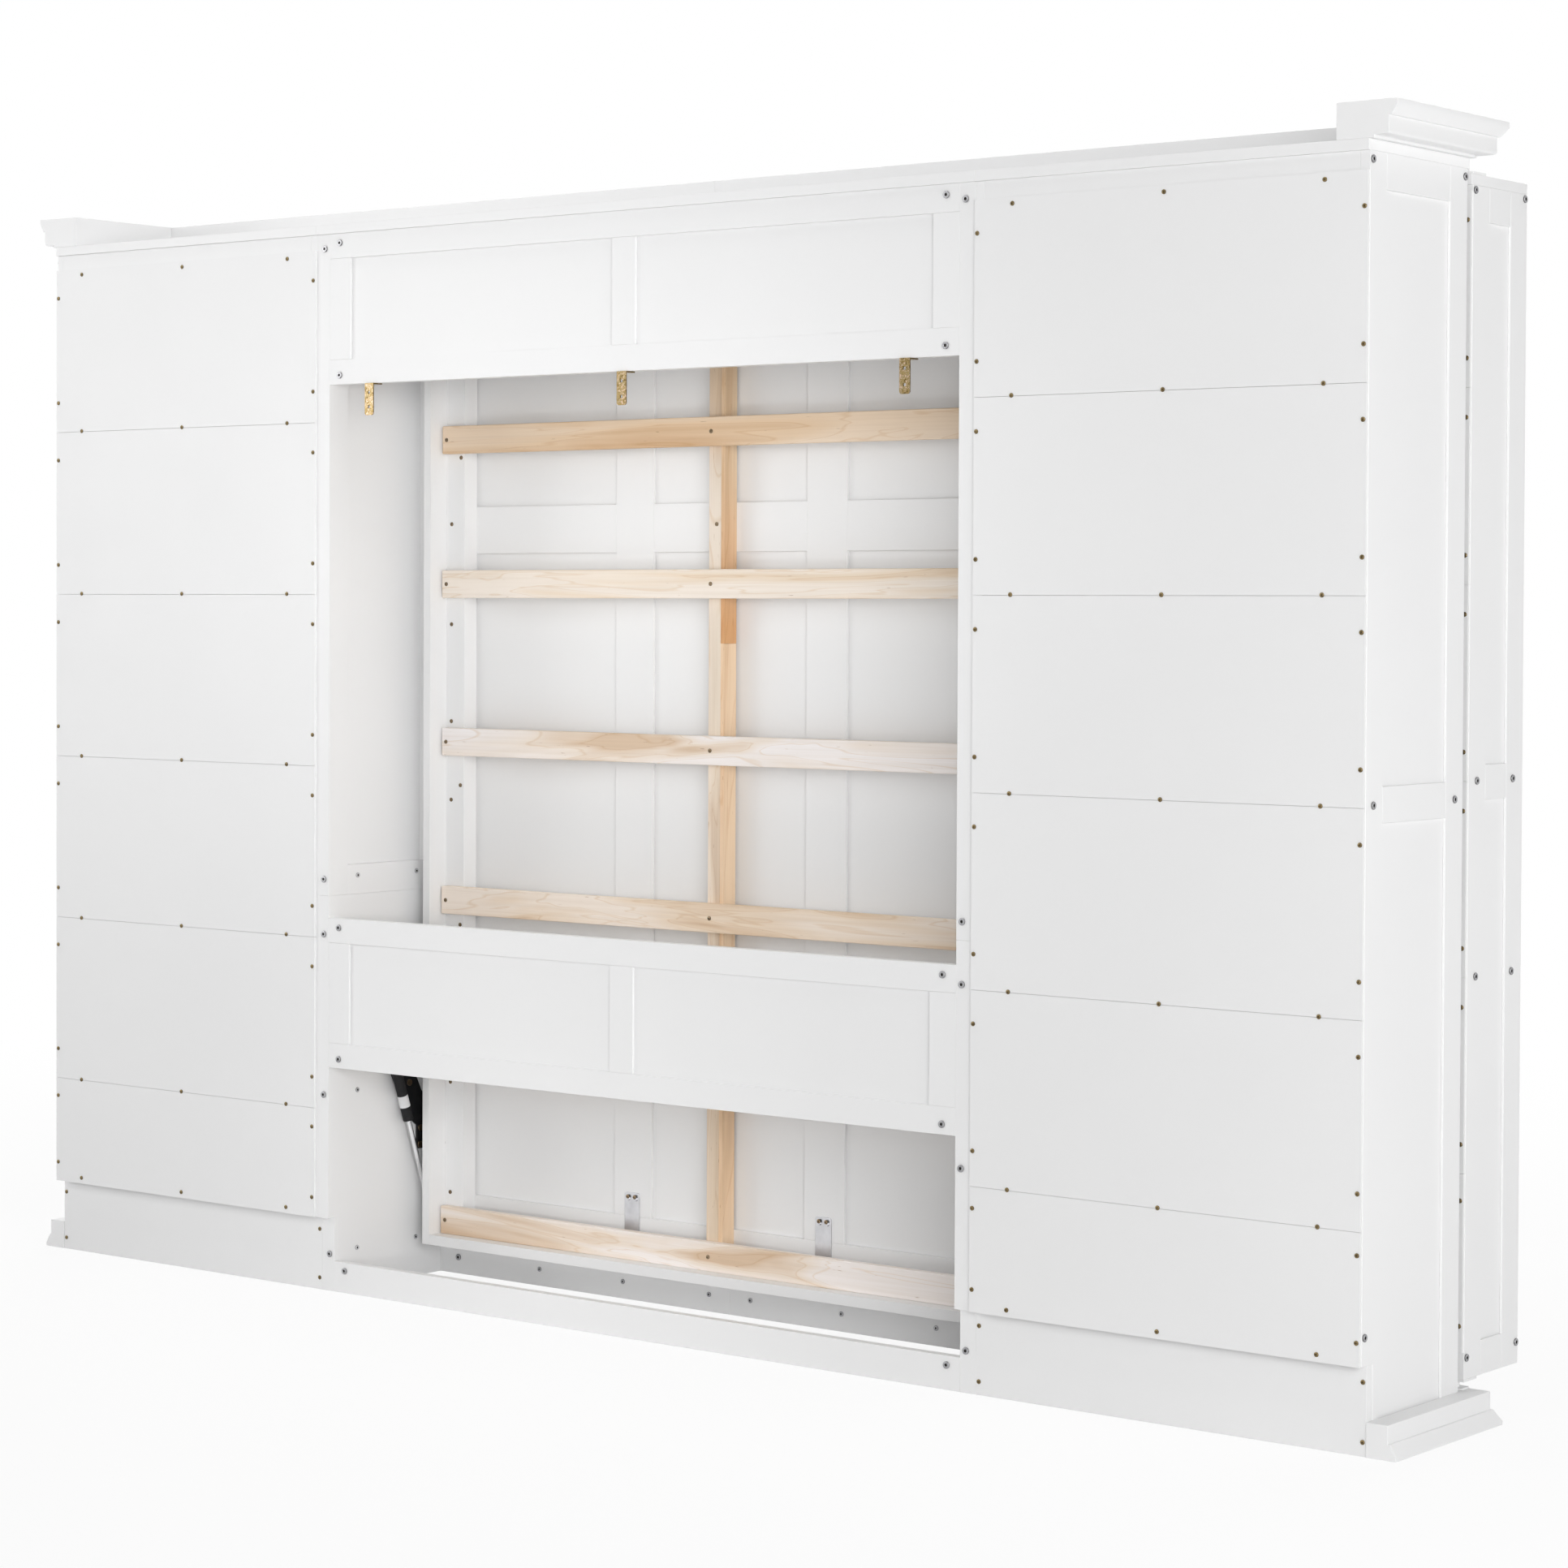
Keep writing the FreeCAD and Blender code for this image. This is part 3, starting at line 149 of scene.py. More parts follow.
def faces_down(face):
    return face.normal.z < -0.9


def add_modifier(piece, kind, **values):
    """Adds one modifier with these values and applies it."""
    take(piece)
    modifier = piece.modifiers.new(kind.title(), kind)
    for key, value in values.items():
        setattr(modifier, key, value)
    bpy.ops.object.modifier_apply(modifier=modifier.name)


def settle(piece):
    """Puts the piece's place into its mesh and smooths all but its sharp edges."""
    take(piece)
    bpy.ops.object.transform_apply(location=True, rotation=True, scale=True)
    bpy.ops.object.shade_smooth_by_angle(angle=SMOOTH_ANGLE)


def stood(seat, outward):
    """The place of a piece modelled along Z that stands on its seat and points outward."""
    return Matrix.Translation(seat) @ outward.to_track_quat("Z", "Y").to_matrix().to_4x4()


def named(piece, name, *materials):
    piece.name = name
    piece.data.name = name
    piece.data.materials.clear()
    for material in materials:
        piece.data.materials.append(material)
    return piece


def solids_of(node):
    """Lowest and highest corner of each separate solid of a CAD node."""
    mesh = frame["nodes"][node].data
    leader = {}

    def root(key):
        while leader[key] != key:
            leader[key] = leader[leader[key]]
            key = leader[key]
        return key

    keys = [tuple(round(value / CORNER_GRID) for value in vertex.co) for vertex in mesh.vertices]
    for key in keys:
        leader.setdefault(key, key)
    for face in mesh.polygons:
        first = root(keys[face.vertices[0]])
        for index in face.vertices[1:]:
            leader[root(keys[index])] = first
    corners = {}
    for vertex, key in zip(mesh.vertices, keys):
        low, high = corners.setdefault(root(key), (vertex.co.copy(), vertex.co.copy()))
        for axis in range(3):
            low[axis] = min(low[axis], vertex.co[axis])
            high[axis] = max(high[axis], vertex.co[axis])
    return sorted(corners.values(), key=lambda pair: tuple(pair[0]))


# Node helpers for the finishes


def finish_tree(name):
    material = bpy.data.materials.new(name)
    material.use_nodes = True
    tree = material.node_tree
    shader = tree.nodes["Principled BSDF"]
    place = tree.nodes.new("ShaderNodeTexCoord")
    return material, tree, shader, place.outputs["Object"]


def stretched(tree, place, scale, turn=(0, 0, 0)):
    mapping = tree.nodes.new("ShaderNodeMapping")
    mapping.inputs["Scale"].default_value = scale
    mapping.inputs["Rotation"].default_value = turn
    tree.links.new(place, mapping.inputs["Vector"])
    return mapping.outputs["Vector"]


def cloud(tree, place, scale, detail=4.0, rough=0.5, twist=0.0):
    noise = tree.nodes.new("ShaderNodeTexNoise")
    noise.inputs["Scale"].default_value = scale
    noise.inputs["Detail"].default_value = detail
    noise.inputs["Roughness"].default_value = rough
    noise.inputs["Distortion"].default_value = twist
    tree.links.new(place, noise.inputs["Vector"])
    return noise.outputs["Fac"]


def worked_out(tree, operation, first, second):
    """One Math node on a socket and a second socket or number."""
    node = tree.nodes.new("ShaderNodeMath")
    node.operation = operation
    tree.links.new(first, node.inputs[0])
    if isinstance(second, float):
        node.inputs[1].default_value = second
    else:
        tree.links.new(second, node.inputs[1])
    return node.outputs[0]


def tones(tree, factor, *stops):
    """A colour ramp from (place, colour) stops."""
    ramp = tree.nodes.new("ShaderNodeValToRGB")
    elements = ramp.color_ramp.elements
    while len(elements) < len(stops):
        elements.new(0.5)
    for element, (spot, colour) in zip(elements, stops):
        element.position = spot
        element.color = (*colour, 1.0)
    tree.links.new(factor, ramp.inputs["Fac"])
    return ramp.outputs["Color"]


def height_tones(tree, place, height_tints, ramp_top=2.0):
    """A colour that changes with height, from (height, colour) pairs below the ramp's top."""
    axes = tree.nodes.new("ShaderNodeSeparateXYZ")
    tree.links.new(place, axes.inputs[0])
    level = worked_out(tree, "MULTIPLY", axes.outputs["Z"], 1.0 / ramp_top)
    return tones(tree, level, *((height / ramp_top, tint) for height, tint in height_tints))


def tinted(tree, share, colour, tint):
    """The colour multiplied by a share of the tint."""
    mix = tree.nodes.new("ShaderNodeMix")
    mix.data_type = "RGBA"
    mix.blend_type = "MULTIPLY"
    mix.inputs[0].default_value = share
    tree.links.new(colour, mix.inputs[6])
    tree.links.new(tint, mix.inputs[7])
    return mix.outputs[2]


def spread(tree, factor, low, high):
    """Maps a factor from 0..1 to a range."""
    scale = tree.nodes.new("ShaderNodeMapRange")
    scale.inputs["To Min"].default_value = low
    scale.inputs["To Max"].default_value = high
    tree.links.new(factor, scale.inputs["Value"])
    return scale.outputs["Result"]


def coat(tree, shader, colour, gloss, rough):
    """Gives the shader its colour, and a range of roughness that follows the gloss pattern."""
    tree.links.new(colour, shader.inputs["Base Color"])
    tree.links.new(spread(tree, gloss, *rough), shader.inputs["Roughness"])


def relief(tree, shader, height, strength, distance):
    bump = tree.nodes.new("ShaderNodeBump")
    bump.inputs["Strength"].default_value = strength
    bump.inputs["Distance"].default_value = distance
    tree.links.new(height, bump.inputs["Height"])
    tree.links.new(bump.outputs["Normal"], shader.inputs["Normal"])


# Finishes


def white_paint(name, tint):
    """Sprayed satin paint: faint clouding, a fine orange-peel skin and uneven gloss."""
    material, tree, shader, place = finish_tree(name)
    shaded = tuple(tint * share for share in (0.975, 0.975, 0.977))
    broad = cloud(tree, place, scale=1.3, detail=3.0)
    colour = tones(tree, broad, (0.3, shaded), (0.7, (tint, tint, tint)))
    coat(tree, shader, colour, cloud(tree, place, scale=9.0, detail=5.0), rough=(0.34, 0.46))
    skin = cloud(tree, place, scale=420.0, detail=2.0)
    relief(tree, shader, skin, strength=0.05, distance=0.4 * MM)
    shader.inputs["IOR"].default_value = 1.45
    return material


def birch(name, grain, pale, mid, deep, turn=0.0, height_tints=None):
    """Planed birch: a slow cathedral figure, streaks along the grain and small pores.

    A height ramp, if given, tints the wood by height as (height, colour) pairs; the beam's
    darker top is painted shade from the top frame and the wall bracket.
    """
    material, tree, shader, place = finish_tree(name)

    def lengthways(slow, quick):
        return (slow, quick, quick) if grain == "X" else (quick, quick, slow)

    drawn_out = stretched(tree, place, lengthways(0.8, 7.0), (turn, turn, 0))
    figure = cloud(tree, drawn_out, scale=1.9, detail=3.0, rough=0.45, twist=0.9)
    colour = tones(tree, figure, (0.34, deep), (0.45, mid), (0.56, pale))
    rings = spread(tree, worked_out(tree, "PINGPONG", figure, 0.055), low=0.0, high=18.0)
    line = tones(tree, rings, (0.02, (0.9, 0.83, 0.74)), (0.16, WHITE))
    colour = tinted(tree, 0.8, colour, line)
    streak = cloud(tree, stretched(tree, place, lengthways(3.0, 190.0)), scale=1.0, rough=0.6)
    shade = tones(tree, streak, (0.25, (0.88, 0.85, 0.81)), (0.6, WHITE))
    colour = tinted(tree, 0.6, colour, shade)
    pore = cloud(tree, stretched(tree, place, lengthways(34.0, 420.0)), scale=1.0, detail=1.0)
    dots = tones(tree, pore, (0.2, (0.5, 0.38, 0.27)), (0.25, WHITE))
    colour = tinted(tree, 0.8, colour, dots)
    if height_tints:
        colour = tinted(tree, 1.0, colour, height_tones(tree, place, height_tints))
    coat(tree, shader, colour, streak, rough=(0.52, 0.68))
    relief(tree, shader, streak, strength=0.12, distance=0.6 * MM)
    return material


def yellow_zinc(name):
    """Yellow passivated zinc with its pink and green shimmer."""
    material, tree, shader, place = finish_tree(name)
    hue = cloud(tree, place, scale=150.0, detail=3.0, twist=2.2)
    colour = tones(tree, hue, (0.34, (0.08, 0.05, 0.02)), (0.46, (0.3, 0.21, 0.08)),
                   (0.54, (0.2, 0.17, 0.09)), (0.64, (0.5, 0.36, 0.27)))
    worn = cloud(tree, place, scale=240.0)
    coat(tree, shader, colour, worn, rough=(0.22, 0.4))
    shader.inputs["Metallic"].default_value = 1.0
    relief(tree, shader, worn, strength=0.08, distance=0.3 * MM)
    return material


def metal(name, light, dark, rough, scale=180.0):
    """Plated or bare metal with uneven tone and gloss."""
    material, tree, shader, place = finish_tree(name)
    worn = cloud(tree, place, scale)
    coat(tree, shader, tones(tree, worn, (0.3, dark), (0.65, light)), worn, rough)
    shader.inputs["Metallic"].default_value = 1.0
    relief(tree, shader, worn, strength=0.05, distance=0.2 * MM)
    return material


def black_enamel(name):
    """Satin black enamel on steel, slightly dusty."""
    material, tree, shader, place = finish_tree(name)
    dust = cloud(tree, place, scale=60.0, detail=5.0)
    colour = tones(tree, dust, (0.35, (0.008, 0.008, 0.009)), (0.75, (0.018, 0.018, 0.019)))
    coat(tree, shader, colour, dust, rough=(0.42, 0.58))
    shader.inputs["Specular IOR Level"].default_value = 0.22
    skin = cloud(tree, place, scale=700.0, detail=2.0)
    relief(tree, shader, skin, strength=0.06, distance=0.3 * MM)
    return material


def blank_film(name):
    """Blank matt film."""
    material, tree, shader, place = finish_tree(name)
    film = cloud(tree, place, scale=70.0, detail=3.0)
    colour = tones(tree, film, (0.3, (0.7, 0.7, 0.71)), (0.7, (0.78, 0.78, 0.79)))
    coat(tree, shader, colour, film, rough=(0.4, 0.55))
    return material


PAINT = white_paint("white_satin_paint", 0.88)
PAINT_BACK = white_paint("white_back_paint", 0.865)
# The slats are tinted by height: some bluer, some warmer, the highest darker and warmer.
SLAT_HEIGHT_TINTS = ((0.3, (1.0, 1.03, 1.1)), (0.7, (1.02, 0.99, 0.96)), (0.9, (1.0, 0.99, 0.99)),
             (1.1, (0.98, 1.03, 1.13)), (1.4, (0.96, 0.95, 0.93)), (1.55, (0.95, 0.92, 0.88)),
             (1.68, (0.89, 0.78, 0.65)))
# The beam is tinted by height: warmer low down, brighter near the middle, and darker at the top,
# which is painted shade from the top frame and the wall bracket.
CORE_TINTS_AND_SHADE = ((0.35, (0.95, 0.9, 0.84)), (0.95, (1.14, 1.15, 1.17)), (1.16, WHITE),
             (1.6, (1.02, 1.04, 1.08)), (1.74, (0.87, 0.79, 0.7)))
WARM_HEIGHT_TINTS = ((1.3, (0.9, 0.64, 0.42)), (1.46, (1.0, 0.88, 0.79)), (1.62, WHITE))
BIRCH = birch("birch_slat", "X", pale=(0.96, 0.87, 0.78), mid=(0.9, 0.76, 0.61),
              deep=(0.73, 0.53, 0.35), height_tints=SLAT_HEIGHT_TINTS)
BEAM_CORE = birch("birch_beam", "Z", pale=(0.84, 0.73, 0.61), mid=(0.78, 0.66, 0.53),
                  deep=(0.66, 0.52, 0.39), height_tints=CORE_TINTS_AND_SHADE)
BEAM_PALE = birch("birch_strip", "Z", pale=(0.92, 0.7, 0.49), mid=(0.86, 0.62, 0.41),
                  deep=(0.75, 0.52, 0.32), turn=0.4)
BEAM_WARM = birch("warm_strip", "Z", pale=(0.8, 0.62, 0.43), mid=(0.74, 0.54, 0.35),
                  deep=(0.62, 0.42, 0.25), turn=0.9, height_tints=WARM_HEIGHT_TINTS)
ZINC_GOLD = yellow_zinc("yellow_zinc_plate")
BRASS = metal("yellow_zinc_screw", (0.27, 0.2, 0.1), (0.11, 0.08, 0.04), (0.26, 0.42))
DULL = metal("brown_screw", (0.3, 0.22, 0.14), (0.18, 0.13, 0.08), (0.3, 0.5))
STEEL = metal("zinc_bolt", (0.4, 0.4, 0.41), (0.26, 0.26, 0.27), (0.25, 0.42))
BRIGHT = metal("bright_steel_plate", (0.66, 0.66, 0.68), (0.54, 0.54, 0.56), (0.28, 0.4), 40.0)
CHROME = metal("chrome_rod", (0.82, 0.82, 0.83), (0.74, 0.74, 0.76), (0.06, 0.14), 30.0)
# Dark dull material on the heads: painted shade in the drive recesses and round their low rims.
RECESS_SHADE = metal("recess_painted_shade", (0.06, 0.055, 0.05), (0.03, 0.027, 0.024), (0.5, 0.7))
BLACK = black_enamel("black_enamel")
FILM = blank_film("blank_film")


# Boards and plates: copies of the solids with eased edges


def eased(node, material, width, segments=2, closer=0.0):
    """A copy of a CAD node with its edges eased, which stands for that node.

    closer lifts the upper edges, so that stacked panels meet in a hairline.
    """
    piece = linked(f"{node}_eased", frame["nodes"][node].data.copy())
    take(piece)
    edit("VERT")
    bpy.ops.mesh.select_all(action="SELECT")
    bpy.ops.mesh.remove_doubles(threshold=MERGE_REACH)
    bpy.ops.mesh.dissolve_limited(angle_limit=FLAT_ANGLE)
    leave_edit()
    if closer:
        pick_faces(piece, faces_up)
        bpy.ops.transform.translate(value=(0, 0, closer))
        leave_edit()
    add_modifier(piece, "BEVEL", width=width, segments=segments, limit_method="ANGLE",
                 angle_limit=EDGE_ANGLE, use_clamp_overlap=True, harden_normals=False)
    named(piece, f"{node}_eased", material)
    settle(piece)
    add_modifier(piece, "WEIGHTED_NORMAL", mode="FACE_AREA", weight=60, keep_sharp=True)
    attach(piece, BODY_OF[node])
    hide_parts(node)
    return piece


def painted_boards():
    for node, slot in SLOT_OF.items():
        if slot != "white_paint":
            continue
        if "back" in node:
            eased(node, PAINT_BACK, BACK_EASE, closer=BACK_LIFT)
        elif "crown" in node or "base" in node:
            eased(node, PAINT, ROUND_EASE, segments=3)
        else:
            eased(node, PAINT, BOARD_EASE)


def bare_wood():
    """The slats, and the beam with its two strips of other wood on one side."""
    eased("slats", BIRCH, SLAT_EASE, segments=3)
    beam = eased("centre_beam", BEAM_CORE, ROUND_EASE)
    boxes = sorted(solids_of("centre_beam"), key=lambda pair: (pair[0].x, pair[0].z))
    edge, split = boxes[0][1].x, boxes[1][0].z
    for material in (BEAM_PALE, BEAM_WARM):
        beam.data.materials.append(material)
    for face in beam.data.polygons:
        if face.center.x < edge + FLUSH:
            face.material_index = 2 if face.center.z > split - FLUSH else 1


def steel_parts():
    eased("wall_brackets", ZINC_GOLD, STEEL_EASE)
    eased("face_ties", BRIGHT, STRAP_EASE)
    eased("hinge_pins", PAINT, STRAP_EASE)
    eased("leg_hinges", BRIGHT, STRAP_EASE)
    eased("leg_frame", BLACK, PLATE_EASE)
    eased("bed_brackets", BLACK, STEEL_EASE)
    for side in SIDES:
        eased(f"{side}_hinge_shoes", PAINT, STRAP_EASE)
        brown_heads(eased(f"{side}_pivot_plate", BLACK, PLATE_EASE))
        eased(f"{side}_strut_barrel", BLACK, ROUND_EASE, segments=3)
        eased(f"{side}_strut_rod", CHROME, STEEL_EASE)


def brown_heads(plate):
    """Gives the three plate screws their own plating."""
    pivot = Vector(JOINTS["bed_fold"]["pos_m"])
    spots = [(pivot.y - PLATE_REACH * deep, pivot.z + PLATE_REACH * tall)
             for deep, tall in PLATE_SCREWS]
    plate.data.materials.append(DULL)
    plate_face = max(abs(vertex.co.x) for vertex in plate.data.vertices) - PLATE_THICKNESS
    for face in plate.data.polygons:
        near = min(math.hypot(face.center.y - y, face.center.z - z) for y, z in spots)
        if near < PLATE_SCREW_RADIUS and abs(face.center.x) < plate_face - PLATE_SCREW_STEP:
            face.material_index = 1


# Fasteners


def head_spot(low, high):
    """Seat centre and outward direction of a round head from its box."""
    middle = (low + high) / 2
    if high.y - low.y < high.x - low.x:
        return Vector((middle.x, low.y, middle.z)), WALL_SIDE
    outward = 1.0 if abs(middle.x) > BAY_REACH else -1.0
    sign = outward * math.copysign(1.0, middle.x)
    seat = low.x if sign > 0 else high.x
    return Vector((seat, middle.y, middle.z)), Vector((sign, 0, 0))


def round_blank(vertices, radius, height, foot=0.0):
    """An upright cylinder on the Z axis, with its foot at the given height."""
    deselect()
    bpy.ops.mesh.primitive_cylinder_add(vertices=vertices, radius=radius, depth=height,
                                        location=(0, 0, foot + 0.5 * height))
    blank = bpy.context.object
    take(blank)
    bpy.ops.object.transform_apply(location=True)
    return blank


def carve(piece, tool):
    """Cuts the tool out of the piece and removes the tool."""
    add_modifier(piece, "BOOLEAN", operation="DIFFERENCE", object=tool, solver="EXACT")
    bpy.data.objects.remove(tool)


def dark_recess(piece, radius, depth, rim):
    """Paints shade into the drive recess and round the low rim of a head, as a dark dull
    material.
    """
    for face in piece.data.polygons:
        inside = math.hypot(face.center.x, face.center.y) < radius
        if inside and face.center.z < depth or face.center.z < rim:
            face.material_index = 1


def pan_head(radius, height, plating):
    """A domed screw head with a cross recess, seated on the XY plane."""
    head = round_blank(18, radius, 0.5 * height)
    pick_faces(head, faces_up)
    for inward, rise in ((0.22, 0.28), (0.3, 0.17), (0.25, 0.05)):
        bpy.ops.mesh.inset(thickness=inward * radius, depth=rise * height)
    leave_edit()
    for turn in (0.0, 90.0):
        deselect()
        bpy.ops.mesh.primitive_cube_add(size=1.0, location=(0, 0, height),
                                        rotation=(0, 0, math.radians(turn)))
        arm = bpy.context.object
        arm.scale = (1.25 * radius, 0.3 * radius, 1.1 * height)
        take(arm)
        bpy.ops.object.transform_apply(location=True, rotation=True, scale=True)
        pick_faces(arm, faces_down)
        bpy.ops.transform.resize(value=(0.55, 0.7, 1.0))
        leave_edit()
        carve(head, arm)
    named(head, "pan_head", plating, RECESS_SHADE)
    dark_recess(head, radius=0.7 * radius, depth=0.82 * height, rim=0.45 * height)
    return head


def socket_head(radius, height, plating):
    """A flat connector bolt head with a rounded rim and a hexagon socket."""
    head = round_blank(24, radius, height)
    add_modifier(head, "BEVEL", width=0.35 * height, segments=3, limit_method="ANGLE")
    pick_faces(head, lambda face: faces_up(face) and len(face.vertices) > 8)
    bpy.ops.mesh.inset(thickness=0.3 * radius, depth=0.0)
    bpy.ops.mesh.inset(thickness=0.06 * radius, depth=-0.12 * height)
    leave_edit()
    carve(head, round_blank(6, 0.46 * radius, 1.5 * height, foot=0.25 * height))
    named(head, "socket_head", plating, RECESS_SHADE)
    dark_recess(head, radius=0.5 * radius, depth=0.75 * height, rim=0.7 * height)
    return head


def placed_heads(template, spots, name, body, replaced=None):
    """Copies of a head at each spot, joined as one piece."""
    copies = []
    for number, (seat, outward) in enumerate(spots):
        copy = linked(f"{name}_{number}", template.data.copy())
        spin = Matrix.Rotation(math.radians(HEAD_TURN * number), 4, "Z")
        copy.matrix_world = stood(seat, outward) @ spin
        copies.append(copy)
    deselect()
    for copy in copies:
        copy.select_set(True)
    bpy.context.view_layer.objects.active = copies[0]
    bpy.context.view_layer.update()
    bpy.ops.object.join()
    piece = bpy.context.object
    piece.name = name
    piece.data.name = name
    settle(piece)
    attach(piece, body)
    if replaced:
        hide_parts(replaced)
    return piece


def on_bay_side(seat, outward):
    """Whether a bolt sits on a bed side and faces into the bay."""
    return abs(outward.x) > 0.5 and abs(seat.x) < BAY_REACH


def on_cross_frame(seat, outward):
    """Whether a bolt sits on a frame or rail between the bed sides."""
    return outward.y > 0.5 and abs(seat.x) < CROSS_REACH


def tie_spots():
    """Two screws near the upper end of each steel tie."""
    spots = []
    for low, high in solids_of("face_ties"):
        for share in (0.27, 0.73):
            across = low.x + (high.x - low.x) * share
            spots.append((Vector((across, high.y, high.z - TIE_SCREW_DROP)), WALL_SIDE))
    return spots


def book_back_spots(side):
    """Screws along the seams and upright edges of a bookcase back."""
    spots = []
    panels = sorted(solids_of(f"{side}_bookcase_backs"), key=lambda pair: pair[0].z)
    for number, (low, high) in enumerate(panels):
        if number:
            seam = low.z + BACK_SCREW_RISE
            for share in (0.103, 0.5, 0.897):
                across = low.x + (high.x - low.x) * share
                spots.append((Vector((across, high.y, seam)), WALL_SIDE))
        for edge in (low.x + BACK_SCREW_INSET, high.x - BACK_SCREW_INSET):
            for share in (0.149, 0.851):
                tall = low.z + (high.z - low.z) * share
                spots.append((Vector((edge, high.y, tall)), WALL_SIDE))
    return spots


def fasteners():
    screw = pan_head(*SCREW_HEAD, BRASS)
    dull = pan_head(*SCREW_HEAD, DULL)
    bolt = socket_head(*BOLT_HEAD, STEEL)
    small_bolt = socket_head(*SMALL_BOLT_HEAD, STEEL)
    pale_bolt = socket_head(*SMALL_BOLT_HEAD, BRIGHT)
    for node, template in (("back_screws", screw), ("bed_screws", dull), ("frame_bolts", bolt),
                           ("right_bookcase_bolts", bolt), ("left_bookcase_bolts", bolt)):
        spots = [head_spot(*corners) for corners in solids_of(node)]
        if node == "frame_bolts":
            bay_side = [spot for spot in spots if on_bay_side(*spot)]
            cross = [spot for spot in spots if on_cross_frame(*spot)]
            spots = [spot for spot in spots if spot not in bay_side + cross]
            placed_heads(pale_bolt, bay_side, "bay_side_bolts", BODY_OF[node])
            placed_heads(small_bolt, cross, "cross_frame_bolts", BODY_OF[node])
        placed_heads(template, spots, f"{node}_detailed", BODY_OF[node], node)
    placed_heads(dull, tie_spots(), "tie_screws", BODY_OF["face_ties"])
    for side in SIDES:
        placed_heads(screw, book_back_spots(side), f"{side}_bookcase_back_screws",
                     f"{side}_bookcase")
    for template in (screw, dull, bolt, small_bolt, pale_bolt):
        bpy.data.objects.remove(template)


# Blank film on the gas struts


def strut_films():
    """A thin blank film wrapped round the lower end of each barrel, with a lapped end."""
    for side in SIDES:
        axis = Vector(JOINTS[f"{side}_strut_stroke"]["axis"])
        pin = Vector(JOINTS[f"{side}_strut_swing"]["pos_m"])
        deselect()
        bpy.ops.mesh.primitive_cylinder_add(vertices=48, radius=FILM_RADIUS, depth=FILM_LENGTH,
                                            end_fill_type="NOTHING")
        film = bpy.context.object
        pick_faces(film, lambda face: face.center.y < -FILM_LAP_FROM)
        bpy.ops.mesh.extrude_region_shrink_fatten(
            TRANSFORM_OT_shrink_fatten={"value": FILM_LAP})
        leave_edit()
        add_modifier(film, "SOLIDIFY", thickness=FILM_WALL, offset=1.0)
        film.matrix_world = stood(pin + axis * FILM_PLACE, axis)
        named(film, f"{side}_strut_film", FILM)
        settle(film)
        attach(film, f"{side}_barrel")


# Stage


def seen_directly(tree):
    """1 for what the camera sees, straight or in a reflection, and 0 for other rays."""
    path = tree.nodes.new("ShaderNodeLightPath")
    seen = path.outputs["Is Camera Ray"]
    for ray in ("Is Glossy Ray", "Is Transmission Ray"):
        seen = worked_out(tree, "MAXIMUM", seen, path.outputs[ray])
    return seen


def mixed_surface(tree, output, factor, first, second):
    """Ends a node tree with two shaders mixed by a factor."""
    mix = tree.nodes.new("ShaderNodeMixShader")
    tree.links.new(factor, mix.inputs[0])
    tree.links.new(first.outputs[0], mix.inputs[1])
    tree.links.new(second.outputs[0], mix.inputs[2])
    out = tree.nodes.new(output)
    tree.links.new(mix.outputs[0], out.inputs["Surface"])


def floor_finish():
    """Pale floor with a soft shadow, near white to the camera and quite white far away."""
    material = bpy.data.materials.new("studio_floor")
    material.use_nodes = True
    tree = material.node_tree
    tree.nodes.clear()
    matt = tree.nodes.new("ShaderNodeBsdfDiffuse")
    matt.inputs["Color"].default_value = (0.92, 0.92, 0.92, 1.0)
    glow = tree.nodes.new("ShaderNodeEmission")
    place = tree.nodes.new("ShaderNodeTexCoord")
    reach = tree.nodes.new("ShaderNodeVectorMath")
    reach.operation = "LENGTH"
    tree.links.new(place.outputs["Object"], reach.inputs[0])
    white_out = tree.nodes.new("ShaderNodeMapRange")
    for end, value in (("From Min", 2.0), ("From Max", 5.0), ("To Min", 0.9), ("To Max", 1.0)):
        white_out.inputs[end].default_value = value
    tree.links.new(reach.outputs["Value"], white_out.inputs["Value"])
    share = worked_out(tree, "MULTIPLY", seen_directly(tree), white_out.outputs["Result"])
    mixed_surface(tree, "ShaderNodeOutputMaterial", share, matt, glow)
    return material


def studio_world(strength):
    """Even soft light, white where the camera or a reflection sees it."""
    world = bpy.data.worlds.new("studio")
    bpy.context.scene.world = world
    world.use_nodes = True
    tree = world.node_tree
    tree.nodes.clear()
    soft = tree.nodes.new("ShaderNodeBackground")
    soft.inputs["Strength"].default_value = strength
    white = tree.nodes.new("ShaderNodeBackground")
    for light in (soft, white):
        light.inputs["Color"].default_value = (*WHITE, 1.0)
    mixed_surface(tree, "ShaderNodeOutputWorld", seen_directly(tree), soft, white)


def softbox(name, spot, aim, wide, tall, power, spread_angle=180.0):
    """A rectangular lamp, in watts; a small spread angle keeps its light on what it aims at."""
    lamp = bpy.data.lights.new(name, "AREA")
    lamp.shape = "RECTANGLE"
    lamp.size = wide
    lamp.size_y = tall
    lamp.energy = power
    lamp.spread = math.radians(spread_angle)
    box = linked(name, lamp)
    box.location = spot
    box.rotation_euler = (Vector(aim) - Vector(spot)).to_track_quat("-Z", "Y").to_euler()


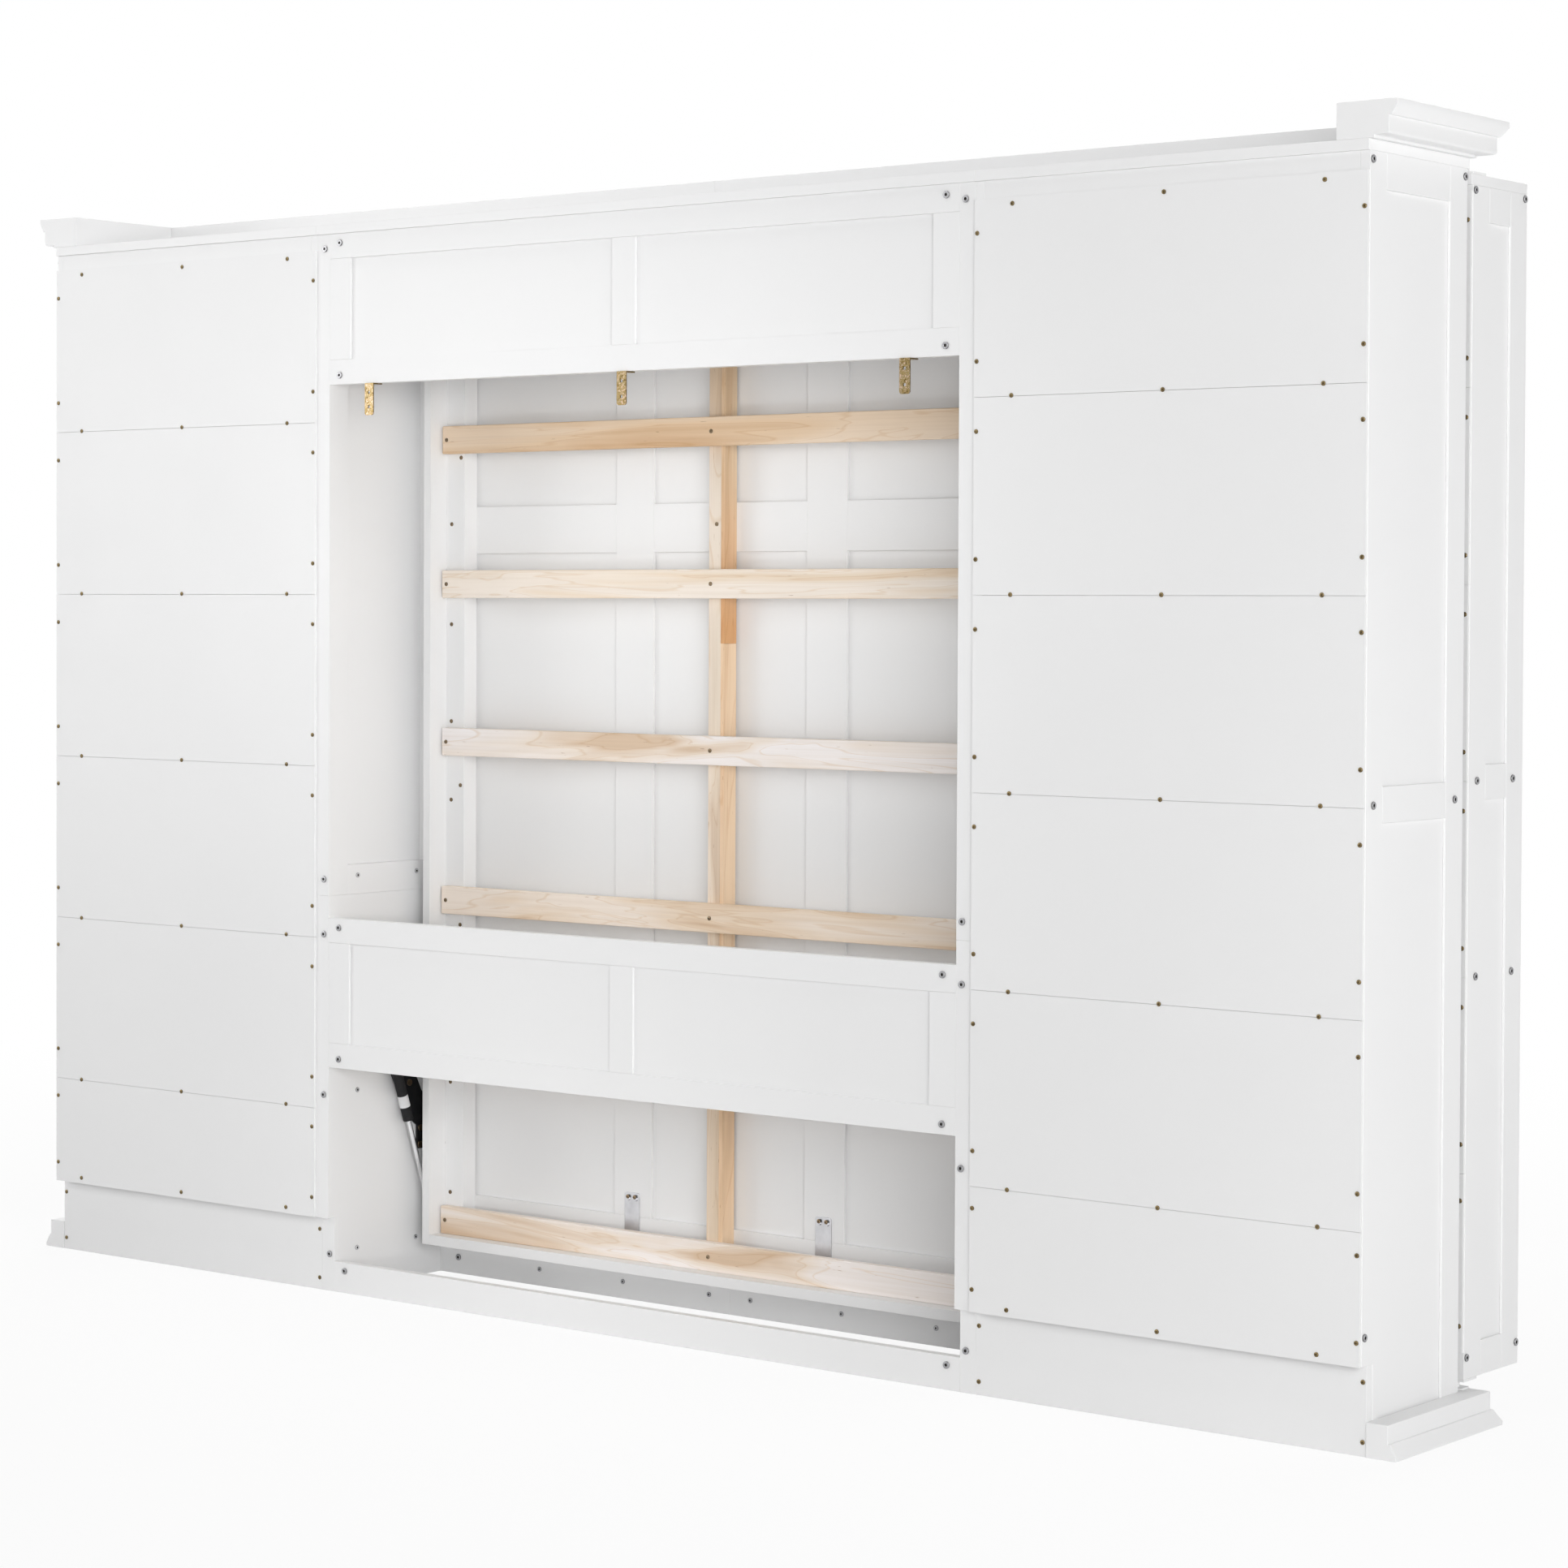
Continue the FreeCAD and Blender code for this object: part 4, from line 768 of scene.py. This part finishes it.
def stage():
    deselect()
    bpy.ops.mesh.primitive_plane_add(size=40.0, location=(0, 0, -0.5 * MM))
    floor = named(bpy.context.object, "studio_floor", floor_finish())
    studio_world(strength=0.12)
    softbox("quarter_box", (-5.2, 4.4, 1.7), (-0.2, 0.0, 1.1), 3.0, 2.5, 180.0)
    softbox("end_box", (-5.5, 1.0, 2.0), (-1.5, 0.0, 1.0), 2.5, 2.5, 50.0)
    softbox("far_end_box", (5.5, 4.0, 2.0), (0.5, 0.0, 1.0), 2.5, 2.5, 80.0)
    softbox("top_box", (0.0, 0.6, 5.3), (0.0, 0.1, 1.0), 4.0, 2.5, 78.0)
    softbox("far_top_grid", (2.8, 4.2, 4.2), (1.1, 0.2, 1.8), 2.5, 2.0, 7.0, 60.0)
    softbox("slant_grid", (-2.5, 3.6, 1.4), (0.6, 0.1, 1.25), 1.2, 1.4, 1.1, 26.0)
    softbox("low_grid", (-1.6, 4.0, 0.35), (0.35, 0.0, 0.12), 1.0, 0.3, 0.3, 16.0)
    softbox("up_grid", (-1.3, 3.6, 0.35), (0.05, 0.0, 1.72), 1.2, 0.5, 0.42, 24.0)
    softbox("room_side_box", (0.5, -5.2, 3.8), (0.0, -0.3, 1.0), 4.0, 2.5, 130.0)
    softbox("room_end_box", (4.5, -4.5, 2.6), (0.5, -0.3, 1.0), 3.0, 2.5, 110.0)


def camera():
    """Camera at the photograph's place, found from its straight edges."""
    spot = Vector((-4.4987, 5.5015, 1.3365))
    ahead = Vector((0.618148, -0.785779, -0.021082)).normalized()
    level = ahead.cross(Vector((0, 0, 1))).normalized()
    lift = level.cross(ahead)
    roll = math.radians(0.245)
    right = level * math.cos(roll) + lift * math.sin(roll)
    up = lift * math.cos(roll) - level * math.sin(roll)
    photo_pixels = 1932.0
    focal_pixels = 4663.3
    shift_pixels = (-0.2, -116.0)
    view = bpy.data.cameras.new("photo_camera")
    view.sensor_width = 36.0
    view.lens = view.sensor_width * focal_pixels / photo_pixels
    view.shift_x = shift_pixels[0] / photo_pixels
    view.shift_y = shift_pixels[1] / photo_pixels
    view.clip_end = 100.0
    eye = linked("photo_camera", view)
    turn = Matrix((right, up, -ahead)).transposed().to_4x4()
    eye.matrix_world = Matrix.Translation(spot) @ turn
    bpy.context.scene.camera = eye


painted_boards()
bare_wood()
steel_parts()
fasteners()
strut_films()
stage()
camera()
bpy.context.scene.view_settings.view_transform = "Standard"
deselect()
